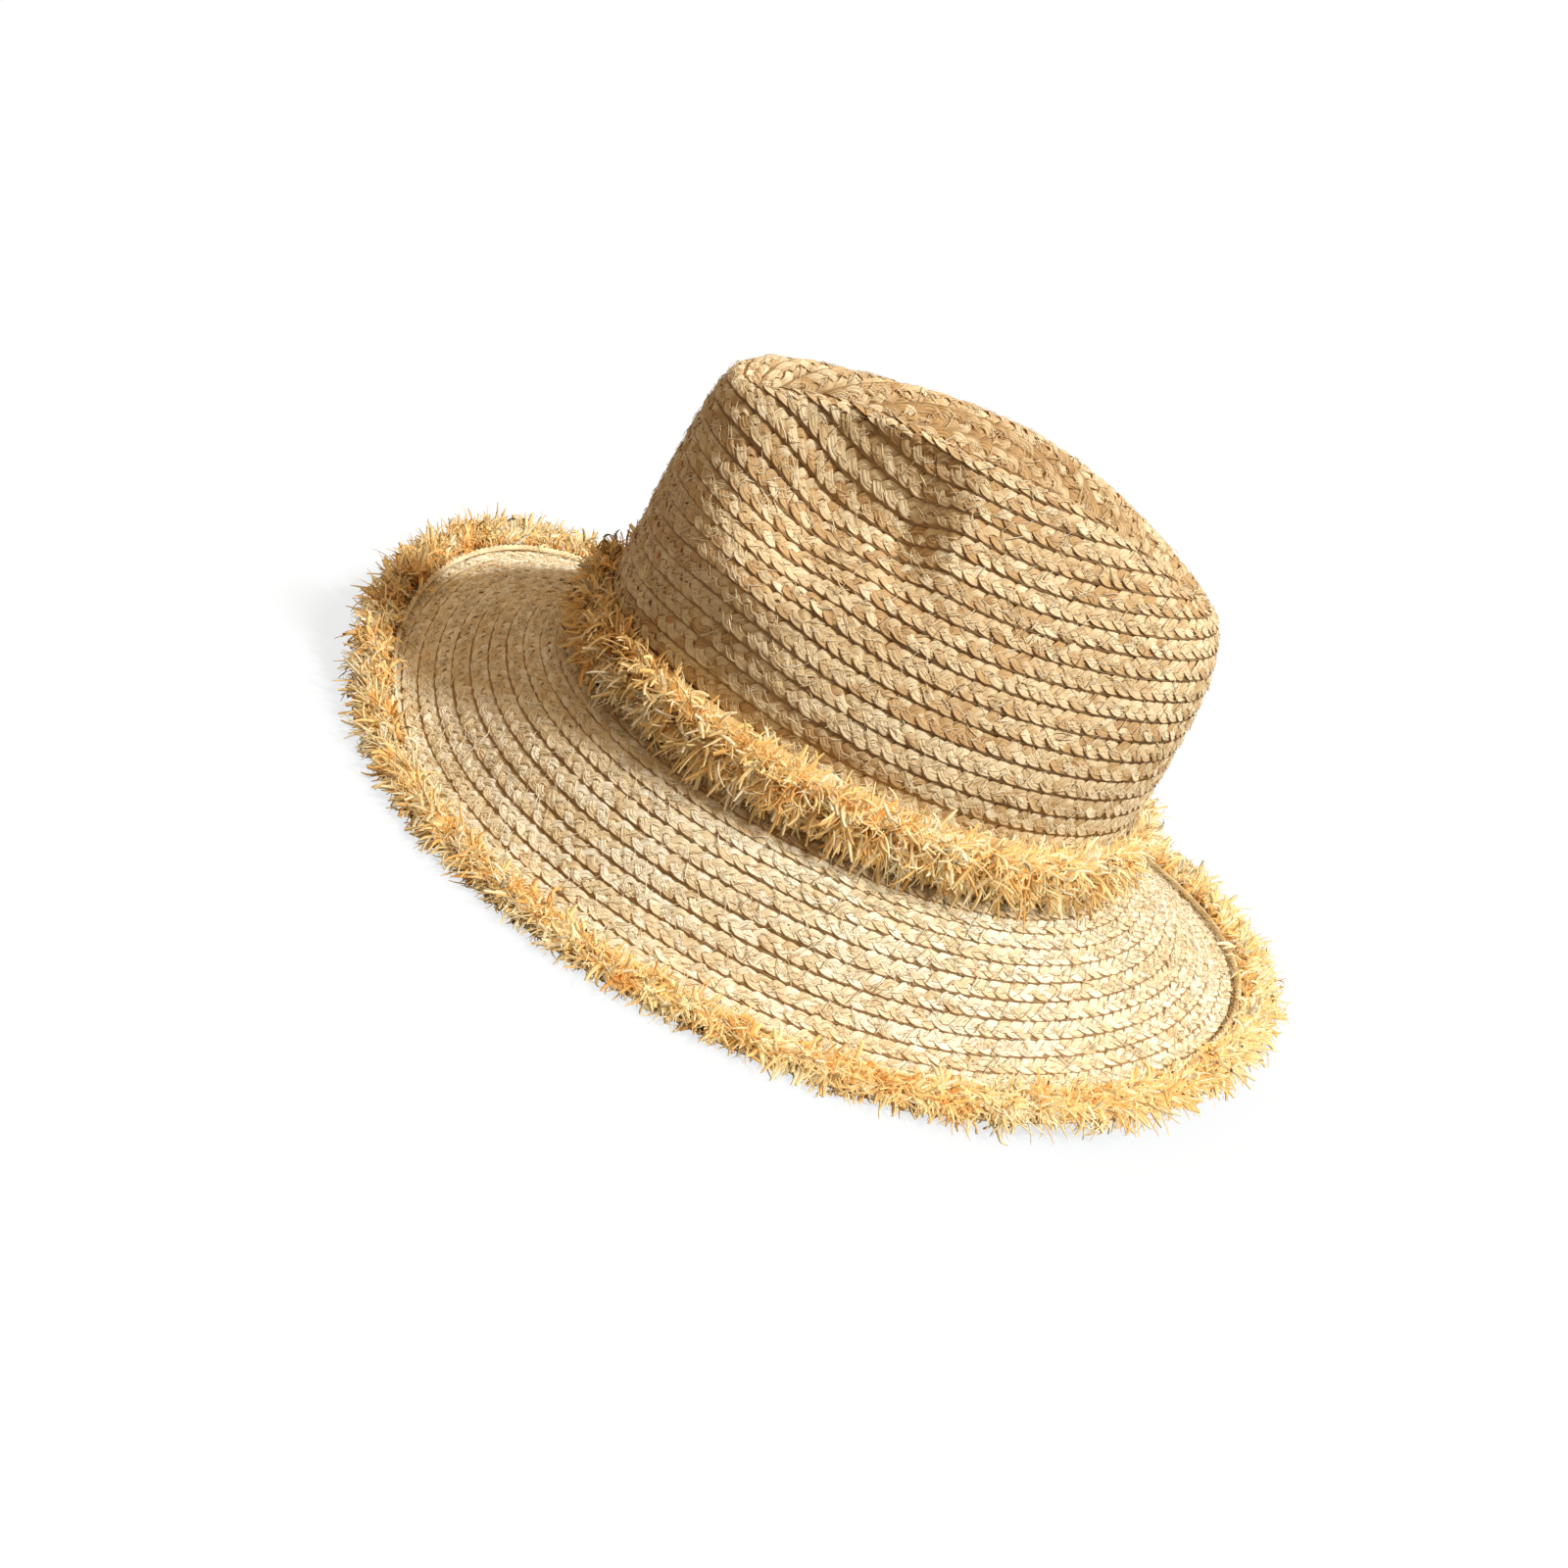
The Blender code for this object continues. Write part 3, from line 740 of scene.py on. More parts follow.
def raffia_fibre_group():
    """Fibres along a strand, from the place on the strand: shade, pale flecks and height."""
    group = bpy.data.node_groups.new("raffia_fibres", "ShaderNodeTree")
    group.interface.new_socket("Place", in_out="INPUT", socket_type="NodeSocketVector")
    for name in ("Shade", "Fleck", "Height"):
        group.interface.new_socket(name, in_out="OUTPUT", socket_type="NodeSocketFloat")
    inside = add_node(group, "NodeGroupInput")
    outside = add_node(group, "NodeGroupOutput")
    place = inside.outputs["Place"]
    broad = stretched_noise(group, place, BROAD_FIBRES, detail=2.0)
    fine = stretched_noise(group, place, FINE_FIBRES, detail=3.0)
    both = add_node(group, "ShaderNodeMath", operation="MULTIPLY_ADD")
    both.inputs[1].default_value = FINE_FIBRE_SHARE
    group.links.new(fine, both.inputs[0])
    group.links.new(map_range(group, broad, 0.0, 1.0, 0.0, 1.0 - FINE_FIBRE_SHARE), both.inputs[2])
    height = both.outputs["Value"]
    group.links.new(height, outside.inputs["Height"])
    group.links.new(map_range(group, height, *FIBRE_SHADE_RANGE, 0.0, 1.0), outside.inputs["Shade"])
    group.links.new(map_range(group, fine, *FLECK_RANGE, 0.0, 1.0), outside.inputs["Fleck"])
    return group


def weave_group():
    """Two sets of threads that cross, from the place on the cloth: their height and a broad uneven shade."""
    group = bpy.data.node_groups.new("weave", "ShaderNodeTree")
    for name in ("Place", "Warp", "Weft"):
        group.interface.new_socket(name, in_out="INPUT", socket_type="NodeSocketVector")
    group.interface.new_socket("Threads", in_out="OUTPUT", socket_type="NodeSocketFloat")
    group.interface.new_socket("Shade", in_out="OUTPUT", socket_type="NodeSocketColor")
    inside = add_node(group, "NodeGroupInput")
    outside = add_node(group, "NodeGroupOutput")
    place = inside.outputs["Place"]
    higher = add_node(group, "ShaderNodeMath", operation="MAXIMUM")
    for name, socket in zip(("Warp", "Weft"), higher.inputs):
        group.links.new(stretched_noise(group, place, inside.outputs[name], detail=2.0), socket)
    threads = map_range(group, higher.outputs["Value"], *WEAVE_RANGE, 0.0, 1.0)
    shade = colour_ramp(group, stretched_noise(group, place, UNEVEN_GRAIN, detail=3.0), UNEVEN_SHADE)
    group.links.new(threads, outside.inputs["Threads"])
    group.links.new(shade, outside.inputs["Shade"])
    return group


def named_value(tree, name, output="Fac"):
    return add_node(tree, "ShaderNodeAttribute", attribute_name=name).outputs[output]


def new_material(name, roughness, specular):
    material = bpy.data.materials.new(name)
    material.use_nodes = True
    shader = material.node_tree.nodes["Principled BSDF"]
    shader.inputs["Roughness"].default_value = roughness
    shader.inputs["Specular IOR Level"].default_value = specular
    return material, material.node_tree, shader


def add_bump(tree, shader, height, strength, distance):
    bump = add_node(tree, "ShaderNodeBump")
    bump.inputs["Strength"].default_value = strength
    bump.inputs["Distance"].default_value = distance
    tree.links.new(height, bump.inputs["Height"])
    tree.links.new(bump.outputs["Normal"], shader.inputs["Normal"])


def let_lamps_through(tree, shader, clearness):
    """Thin raffia passes part of the lamps' light on, and is solid to the eye."""
    path = add_node(tree, "ShaderNodeLightPath")
    solid = map_range(tree, path.outputs["Is Shadow Ray"], 0.0, 1.0, 1.0, 1.0 - clearness)
    tree.links.new(solid, shader.inputs["Alpha"])


def raffia_material(name, group, tones, ends, fibre_shade, roughness, clearness=0.0):
    """Dry raffia: tones between strands, fibres along them and a change of colour with the along value:
    painted shade deep in the plait, and on the fringe's blades painted shade at the roots with paler cut
    ends.
    """
    material, tree, shader = new_material(name, roughness, 0.0 if clearness else MATT_SPECULAR)
    if clearness:
        let_lamps_through(tree, shader, clearness)
    fibres = add_node(tree, "ShaderNodeGroup", node_tree=group)
    tree.links.new(named_value(tree, "place", "Vector"), fibres.inputs["Place"])
    base = colour_ramp(tree, named_value(tree, "tone"), tones)
    shade = colour_ramp(tree, fibres.outputs["Shade"], fibre_shade)
    colour = multiply_colour(tree, base, shade)
    # The along value through the ends ramp paints shade: by depth on the plait, and at the roots of the
    # fringe's blades
    colour = multiply_colour(tree, colour, colour_ramp(tree, named_value(tree, "along"), ends))
    pale = add_node(tree, "ShaderNodeMix", data_type="RGBA", blend_type="SCREEN")
    fleck = map_range(tree, fibres.outputs["Fleck"], 0.0, 1.0, 0.0, FLECK_STRENGTH)
    tree.links.new(fleck, pale.inputs["Factor"])
    tree.links.new(colour, pale.inputs[6])
    tree.links.new(base, pale.inputs[7])
    tree.links.new(pale.outputs[2], shader.inputs["Base Color"])
    add_bump(tree, shader, fibres.outputs["Height"], *RAFFIA_BUMP)
    return material


def woven_material(name, group, tones, weave, roughness):
    """Cloth and thread: tones and relief from the threads that cross."""
    material, tree, shader = new_material(name, roughness, MATT_SPECULAR)
    cloth = add_node(tree, "ShaderNodeGroup", node_tree=group)
    tree.links.new(named_value(tree, "place", "Vector"), cloth.inputs["Place"])
    cloth.inputs["Warp"].default_value, cloth.inputs["Weft"].default_value = weave
    threads = cloth.outputs["Threads"]
    colour = multiply_colour(tree, colour_ramp(tree, threads, tones), cloth.outputs["Shade"])
    tree.links.new(colour, shader.inputs["Base Color"])
    add_bump(tree, shader, threads, *WEAVE_BUMP)
    return material


STRAW_TONES = (
    (0.0, (0.62, 0.42, 0.20)),
    (0.3, (0.82, 0.66, 0.39)),
    (0.7, (0.92, 0.81, 0.54)),
    (1.0, (0.98, 0.93, 0.73)),
)
FRINGE_TONES = (
    (0.0, (0.94, 0.52, 0.16)),
    (0.35, (0.98, 0.68, 0.28)),
    (0.7, (0.99, 0.80, 0.42)),
    (1.0, (0.99, 0.90, 0.65)),
)
RIBBON_TONES = ((0.0, (0.52, 0.43, 0.31)), (0.5, (0.78, 0.70, 0.56)), (1.0, (0.86, 0.80, 0.68)))
TAPE_TONES = ((0.0, (0.44, 0.26, 0.10)), (0.5, (0.78, 0.52, 0.22)), (1.0, (0.90, 0.68, 0.34)))
THREAD_TONES = ((0.0, (0.62, 0.50, 0.32)), (0.5, (0.84, 0.74, 0.54)), (1.0, (0.92, 0.86, 0.70)))
UNEVEN_SHADE = ((0.3, (0.88, 0.85, 0.80)), (0.7, WHITE))
PLAIN_ENDS = ((0.0, WHITE), (1.0, WHITE))
# Painted shade: dark brown deep in the plait, under the row above and along strand sides
STRAW_PAINTED_SHADE = ((0.0, WHITE), (0.35, (0.97, 0.93, 0.88)), (1.0, (0.36, 0.22, 0.12)))
# Painted shade at the roots: darker and oranger inside the tufts, paler towards the cut tips
FRINGE_ROOT_SHADE = ((0.0, (0.93, 0.64, 0.34)), (0.45, (1.0, 0.93, 0.82)), (1.0, (1.0, 1.02, 1.0)))
STRAW_SHADE = (
    (0.0, (0.50, 0.38, 0.27)),
    (0.35, (0.86, 0.81, 0.74)),
    (0.6, WHITE),
    (1.0, (1.04, 1.05, 1.06)),
)
FRINGE_SHADE = ((0.0, (0.86, 0.72, 0.56)), (0.5, WHITE), (1.0, (1.0, 1.02, 1.05)))


# Plait

def row_pitch(row):
    return CROWN_PITCH + (BRIM_PITCH - CROWN_PITCH) * ease(row - CROWN_ROWS + PITCH_CHANGE_ROWS)


def brim_share(row):
    """0 on the crown and 1 on the brim, with a change over the rows below the head line."""
    return ease((row - CROWN_ROWS) / BRIM_CHANGE_ROWS)


def relief(row):
    """How strongly the plait stands out: the brim is pressed flatter than the crown."""
    return 1.0 + (BRIM_RELIEF - 1.0) * brim_share(row)


def plait_route():
    """Turns along the middle of the plait and the length to each; the last turn is level with the edge."""
    turns = np.arange(FIRST_ROW, LAST_ROW + 1.0, 1.0 / ROUTE_STEPS_A_TURN)
    return turns, lengths_along(hat_surface(turns * TURN, np.minimum(turns, LAST_ROW)))


def strand_lift(rng, swing, over, turns):
    """How far one strand lies from the hat's face: over or under the others, and tilted with its row."""
    seam = np.exp(-((swing - SEAM_LINE) / SEAM_HALF_WIDTH) ** 2) * np.maximum(over, 0.0)
    lift = LAYER_LIFT * over - EDGE_DIP * swing ** 2 - ROW_TILT * swing - SEAM_DIP * seam
    return lift * relief(turns) - PLAIT_DEPTH + LIFT_UNEVEN * smooth_noise(rng, turns.shape, reach=4)


def strand_path(rng, strand, lengths, turns):
    """Middle line of a strand, its directions across and up, its lift and its phase in the plait's repeat."""
    wobble = PHASE_UNEVEN * smooth_noise(rng, lengths.shape, reach=14)
    phase = TURN * (lengths / PLAIT_REPEAT + strand / STRANDS) + wobble
    swing = (np.cos(phase) + SWING_SHARPNESS * np.cos(3.0 * phase)) / (1.0 + SWING_SHARPNESS)
    spread = SWING_SHARE * (1.0 + SWING_UNEVEN * smooth_noise(rng, lengths.shape, reach=6))
    over = np.tanh((CROSSING_LINE - np.cos(phase)) / CROSSING_SOFTNESS) * np.sin(phase)
    row = np.maximum(np.minimum(turns, LAST_ROW) - swing * spread, INNERMOST_ROW)
    lift = strand_lift(rng, swing, over, turns)
    angle = turns * TURN
    normal = hat_normal(angle, row)
    points = hat_surface(angle, row) + normal * lift[:, None]
    along = unit(np.gradient(points, axis=0))
    across = unit(np.cross(normal, along))
    up = np.cross(along, across)
    fall = relief(turns) * (STRAND_TILT_SHARE * ROW_TILT + EDGE_DIP * swing)
    tilt = np.arctan(fall / (CROWN_PITCH * SWING_SHARE))
    roll = (tilt + ROLL_UNEVEN * smooth_noise(rng, lengths.shape, reach=5))[:, None]
    rolled_across = across * np.cos(roll) - up * np.sin(roll)
    rolled_up = up * np.cos(roll) + across * np.sin(roll)
    return points, rolled_across, rolled_up, lift, phase


def strand_section(rng, phase, turns):
    """Places across and up round a strand at each step: wider, thicker and fuller at its beads."""
    bead = np.clip(np.cos(phase + BEAD_PHASE), 0.0, 1.0) ** 2
    width = WIDTH_BETWEEN_BEADS + BEAD_WIDENS * bead + WIDTH_UNEVEN * smooth_noise(rng, turns.shape, reach=6)
    half_width = STRAND_WIDTH_SHARE * row_pitch(turns) / 2.0 * width
    thickness = THICKNESS_BETWEEN_BEADS + BEAD_THICKENS * bead
    thickness = thickness + THICKNESS_UNEVEN * smooth_noise(rng, turns.shape, reach=5)
    half_thick = STRAND_THICKNESS / 2.0 * thickness
    bundles = BUNDLES_UNEVEN * smooth_noise(rng, (len(turns), len(SECTION_ACROSS)), reach=4)
    grooves = GROOVES_BETWEEN_BEADS - BEAD_CLOSES_GROOVES * bead
    grooves = grooves + GROOVES_UNEVEN * smooth_noise(rng, turns.shape, reach=6)
    section = SECTION_FULL + (SECTION_GROOVED - SECTION_FULL) * np.clip(grooves, 0.0, 1.0)[:, None]
    section_across = half_width[:, None] * SECTION_ACROSS * (1.0 + BUNDLES_UNEVEN_ACROSS * bundles)
    return section_across, half_thick[:, None] * section * (1.0 + bundles)


def strand_shade(lift, phase, turns, section_across, section_up):
    """Painted shade of each point of a strand, from 0 to 1: darker deep in the plait between its layers,
    under the row above and along the strand's sides, and less on the brim.
    """
    level = lift + relief(turns) * ROW_TILT * np.cos(phase) + PLAIT_DEPTH
    painted_shade = 1.0 - np.abs(level[:, None] + section_up - SHADED_LEVEL) / SHADE_REACH
    reach_in_row = UNDER_ROW_SHADE_WIDTH_SHARE * section_across / row_pitch(turns)[:, None]
    high_in_row = SWING_SHARE * np.cos(phase)[:, None] + reach_in_row
    painted_shade = np.maximum(painted_shade, ease((high_in_row - UNDER_ROW_SHADE_FROM) / (UNDER_ROW_SHADE_TO - UNDER_ROW_SHADE_FROM)))
    side = ease((np.abs(SECTION_ACROSS) - SIDE_SHADE_FROM) / SIDE_SHADE_REACH)
    painted_shade = np.maximum(painted_shade, SIDE_SHADE * side)
    painted_shade = painted_shade * (1.0 + (BRIM_DEPTH_SHADE - 1.0) * brim_share(turns))[:, None]
    return np.clip(painted_shade, 0.0, 1.0)


def strand_tone(rng, turns):
    """The tone along a strand, which changes at each splice, painted darker on the crown as painted shade and
    paler on the brim as painted light.
    """
    splice = np.cumsum(rng.random(len(turns)) < STRAND_STEP / SPLICE_LENGTH)
    tone = rng.beta(*STRAW_TONE_SPREAD, splice[-1] + 1)[splice]
    tone = tone + STRAW_TONE_UNEVEN * smooth_noise(rng, turns.shape, reach=4)
    tone = tone + CROWN_TONE_PAINTED_SHADE + (BRIM_TONE_PAINTED_LIGHT - CROWN_TONE_PAINTED_SHADE) * brim_share(turns)
    return np.clip(tone, 0.0, 1.0)


def strand_rings(rng, strand, lengths, turns):
    """Rings of one strand, its tone, the painted shade at each ring point and its place on the strand."""
    points, across, up, lift, phase = strand_path(rng, strand, lengths, turns)
    section_across, section_up = strand_section(rng, phase, turns)
    rings = section_rings(points, across, up, section_across, section_up)
    painted_shade = strand_shade(lift, phase, turns, section_across, section_up)
    tone = strand_tone(rng, turns)
    place = join_place(section_across, section_up, lengths[:, None] + strand * STRAND_GRAIN_OFFSET)
    return rings, tone, painted_shade, place


def plait(material):
    """The whole plait as one spiral, cut into pieces at the CAD nodes and by length."""
    turns, lengths = plait_route()
    even = np.arange(0.0, lengths[-1], STRAND_STEP)
    even_turns = np.interp(even, lengths, turns)
    rng = np.random.default_rng(seed=7)
    strands = [strand_rings(rng, k, even, even_turns) for k in range(STRANDS)]
    # The third of these holds each strand's painted shade, which the material reads as along
    rings, tones, painted_shades, places = (np.stack(parts) for parts in zip(*strands))
    tip_rows = (1.0 - TIP_SHARE) * CROWN_ROWS
    ends = (0, *np.searchsorted(even_turns, (tip_rows, CROWN_ROWS)), len(even))
    girth = 2.0 * (STRAND_WIDTH_SHARE * CROWN_PITCH + STRAND_THICKNESS)
    for node, first, last in zip(("crown_tip", "crown_wall", "brim"), ends[:-1], ends[1:]):
        parts = int(np.ceil((last - first) * STRANDS / MOST_RINGS))
        cuts = np.linspace(first, last - 1, parts + 1).astype(int)
        for number, (start, stop) in enumerate(zip(cuts[:-1], cuts[1:]), 1):
            reach = slice(start, stop + 1)
            piece = tube_piece(
                f"{node}_plait_{number}", rings[:, reach], material, shape=girth / STRAND_STEP,
                place=places[:, reach], tone=tones[:, reach, None], along=painted_shades[:, reach],
            )
            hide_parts(node)
    return turns, lengths


def plait_strip(turns, lengths, material):
    """A flat strip along the middle of the plait, between its upper and lower strands, painted dark as shade
    deep in the plait.

    Its upper edge bends up to the row above; on the first turn it laps over the crease's middle.
    """
    even = np.arange(0.0, lengths[-1], STRIP_STEP)
    at = np.interp(even, lengths, turns)
    middle = np.minimum(at, LAST_ROW)
    face = np.array((STRIP_LAP, STRIP_BEND, 0.0, STRIP_FOOT))
    across = np.concatenate((face, face[::-1]))
    inner = across == STRIP_LAP
    first = (at < FIRST_ROW + 1.0)[:, None]
    lip = inner & ~first
    across = np.where(inner & first, STRIP_FIRST_LAP, across)
    lift = np.repeat((0.5, -0.5), len(face)) * STRIP_THICKNESS - PLAIT_DEPTH - STRIP_SINK
    lift = lift + relief(middle)[:, None] * ROW_TILT / SWING_SHARE * (lip - across) - STRIP_LIP_DROP * lip
    row = np.maximum(middle[:, None] - across, INNERMOST_ROW)
    angle = np.broadcast_to((at * TURN)[:, None], row.shape)
    normal = hat_normal(angle, row)
    rings = (hat_surface(angle, row) + normal * lift[..., None])[None]
    # Its tone and along values paint the strip dark: painted shade deep in the plait
    piece = tube_piece(
        "plait_strip", rings, material, shape=6.0,
        place=join_place(across * CROWN_PITCH, lift, even[:, None])[None],
        tone=same(STRIP_TONE), along=same(STRIP_SHADE),
    )


# Blades of raffia: the fringes and the loose fibres

def blade_piece(name, rng, points, widths, facing, tones, material, fold, hull=None, ends=1.0):
    """Folded, tapering blades along rows of points, three sides each.

    Hull: directions out of the tufts, towards which the blades' normals lean.
    """
    along = unit(np.gradient(points, axis=1))
    across = unit(np.cross(facing, along))
    up = np.cross(along, across)
    section_across = widths[..., None] * np.array((0.5, 0.0, -0.5))
    section_up = widths[..., None] * np.array((0.0, fold, 0.0))
    rings = section_rings(points, across, up, section_across, section_up)
    # Share from root to tip, which the fringe's ramp turns into painted shade at the roots; none with ends at
    # 0
    share = ends * np.linspace(0.0, 1.0, points.shape[1])[None, :, None]
    steps = np.linalg.norm(np.diff(points, axis=1), axis=-1)
    run = np.pad(np.cumsum(steps, axis=1), ((0, 0), (1, 0)))
    run = run + rng.random((len(points), 1)) * BLADE_GRAIN_OFFSET
    piece = tube_piece(
        name, rings, material, smooth=hull is not None, shape=BLADE_GIRTH * widths.mean() / steps.mean(),
        place=join_place(section_across, section_up, run[..., None]),
        tone=tones[:, None, None], along=share,
    )
    if hull is not None:
        middle = rings.mean(axis=2, keepdims=True)
        normals = unit(unit(rings - middle) * (1.0 - HULL_SHARE) + hull[:, None, None] * HULL_SHARE)
        piece.data.normals_split_custom_set_from_vertices(normals.reshape(-1, 3))
    return piece


def blade_lines(rng, roots, aims, lengths, droop):
    """Points along blades that leave their roots along their aims, curl in arcs and sink."""
    share = np.linspace(0.0, 1.0, BLADE_STATIONS)[None, :, None]
    sideways = unit(np.cross(aims, rng.standard_normal(aims.shape)))[:, None]
    bend = (BLADE_CURL * rng.standard_normal(len(aims)))[:, None, None]
    middle = (share[:, 1:] + share[:, :-1]) / 2.0
    steps = aims[:, None] * np.cos(bend * middle) + sideways * np.sin(bend * middle)
    steps = steps * lengths[:, None, None] / (BLADE_STATIONS - 1)
    path = np.concatenate((np.zeros_like(roots)[:, None], np.cumsum(steps, axis=1)), axis=1)
    sink = np.array((0.0, 0.0, -1.0)) * (droop * lengths)[:, None, None]
    return roots[:, None] + path + sink * share ** 2


def blade_widths(rng, count, stations, limits):
    """Widths along blades that narrow to their cut or split ends."""
    low, high = limits
    full = low + (high - low) * rng.random(count) ** BLADE_WIDTH_POWER
    share = np.linspace(0.0, 1.0, stations)[None, :]
    end = between(rng, BLADE_END_SHARES, (count, 1))
    belly = 1.0 - BLADE_BELLY + BLADE_BELLY * np.sin(pi * share)
    return full[:, None] * belly * (1.0 - (1.0 - end) * share ** BLADE_TAPER_POWER)


def loose_fibres(turns, lengths, material):
    """Fine pale fibres that have come away from the strands and lie across the rows."""
    rng = np.random.default_rng(seed=23)
    share = np.linspace(0.0, 1.0, FIBRE_STATIONS)[None, :]
    bow = np.sin(pi * share)
    stretches = (
        ("crown", 1.0, CROWN_ROWS, CROWN_FIBRE_TONE),
        ("brim", CROWN_ROWS, LAST_ROW - 1.0, BRIM_FIBRE_TONE),
    )
    for name, low_row, high_row, tone in stretches:
        first, last = np.interp((low_row, high_row), turns, lengths)
        count = int(LOOSE_FIBRES * (last - first) / lengths[-1])
        each = (count, 1)
        start = between(rng, (first, last), each)
        slant = np.where(rng.random(each) < 0.5, FIBRE_SLANT_DEG, -FIBRE_SLANT_DEG)
        slant = np.radians(slant + FIBRE_SLANT_UNEVEN_DEG * rng.standard_normal(each))
        length = between(rng, FIBRE_LENGTHS, each)
        at = np.interp(start + length * np.cos(slant) * share, lengths, turns)
        across = FIBRE_ROW_SPREAD * (rng.random(each) - 0.5)
        across = across - length * np.sin(slant) * (share - 0.5) / row_pitch(at)
        across = across + FIBRE_BOW * rng.standard_normal(each) * bow
        row = np.clip(at - across, FIBRE_LEAST_ROW, LAST_ROW)
        normal = hat_normal(at * TURN, row)
        high = between(rng, FIBRE_LIFTS, each) * bow - FIBRE_END_SINK
        off_middle = (across + 0.5) % 1.0 - 0.5
        lift = high - ROW_TILT * off_middle / SWING_SHARE * relief(at)
        points = hat_surface(at * TURN, row) + normal * lift[..., None]
        widths = blade_widths(rng, count, FIBRE_STATIONS, FIBRE_WIDTHS)
        tones = np.clip(tone + FIBRE_TONE_UNEVEN * rng.standard_normal(count), 0.0, 1.0)
        piece = blade_piece(
            f"{name}_loose_fibres", rng, points, widths, normal, tones, material, FIBRE_FOLD, ends=0.0)


def row_stitches(turns, lengths, material):
    """The pale thread that sews each row to the next: long slanting stitches below the row's middle."""
    rng = np.random.default_rng(seed=29)
    share = np.linspace(0.0, 1.0, ROW_STITCH_STATIONS)[None, :]
    section = round_section(ROW_THREAD_DIAMETER, ROW_THREAD_SIDES)
    stretches = (("crown", ROW_STITCH_FIRST_ROW, CROWN_ROWS), ("brim", CROWN_ROWS, LAST_ROW))
    for name, low_row, high_row in stretches:
        first, last = np.interp((low_row, high_row), turns, lengths)
        start = np.arange(first, last, ROW_STITCH_PITCH)[:, None]
        each = start.shape
        start = start + ROW_STITCH_START_UNEVEN * rng.standard_normal(each)
        length = ROW_STITCH_PITCH * between(rng, ROW_STITCH_SHARES, each)
        at = np.interp(start + length * share, lengths, turns)
        slope = ROW_STITCH_SLOPE + ROW_STITCH_SLOPE_UNEVEN * rng.standard_normal(each)
        across = ROW_STITCH_LINE + ROW_STITCH_LINE_UNEVEN * rng.standard_normal(each)
        across = across + slope * (share - 0.5)
        row = np.clip(at - across, 0.0, LAST_ROW + ROW_STITCH_EDGE_LAP)
        normal = hat_normal(at * TURN, row)
        lift = ROW_STITCH_LIFT - ROW_STITCH_DIP * np.abs(2.0 * share - 1.0) ** 4
        lift = lift + ROW_STITCH_LIFT_UNEVEN * rng.standard_normal(each)
        points = hat_surface(at * TURN, row) + normal * lift[..., None]
        along = unit(np.gradient(points, axis=1))
        rings = section_rings(points, np.cross(normal, along), normal, *section)
        place = join_place(*section, at[..., None])
        piece = tube_piece(f"{name}_row_stitches", rings, material, place=place)


def wall_frame(angle):
    """Directions out from, along and up the foot of the crown's wall."""
    out = lean(oval_normal(angle))
    up = lean(join_axes(0.0, 0.0, np.ones_like(angle)))
    return out, np.cross(up, out), up


def wall_point(angle, height, out):
    point = head_oval(angle) + oval_normal(angle) * np.asarray(out)[..., None]
    point[..., 2] = height
    return stand(point)


def tuft_angles(rng, perimeter_angles, perimeter, pitch, blades):
    """An angle for every blade, in tufts at an even pitch, each blade's tuft and the count of tufts."""
    count = int(round(perimeter[-1] / pitch))
    places = np.arange(count) + 0.5 + TUFT_PLACE_UNEVEN * rng.standard_normal(count)
    places = places * perimeter[-1] / count
    tuft = np.repeat(np.arange(count), blades)
    along = places[tuft] + pitch * TUFT_SPREAD * rng.standard_normal(len(tuft))
    return np.interp(along % perimeter[-1], perimeter, perimeter_angles), tuft, count


def tuft_aims(rng, tuft, tufts, rise_deg, rise_uneven_deg, rise_limits_deg, turn_uneven_deg):
    """Shares of out, along and up in each blade's aim: tufts differ, and so do blades within them."""
    rise = rise_deg + TUFT_RISE_UNEVEN_DEG * rng.standard_normal(tufts)[tuft]
    rise = rise + rise_uneven_deg * rng.standard_normal(len(tuft))
    rise = np.radians(np.clip(rise, *rise_limits_deg))[:, None]
    turn = TUFT_TURN_UNEVEN_DEG * rng.standard_normal(tufts)[tuft]
    turn = np.radians(turn + turn_uneven_deg * rng.standard_normal(len(tuft)))[:, None]
    return np.cos(rise) * np.cos(turn), np.cos(rise) * np.sin(turn), np.sin(rise)


def tuft_tones(rng, tuft, tufts):
    tones = rng.beta(*FRINGE_TONE_SPREAD, len(tuft))
    return np.clip(tones + TUFT_TONE_UNEVEN * rng.standard_normal(tufts)[tuft], 0.0, 1.0)


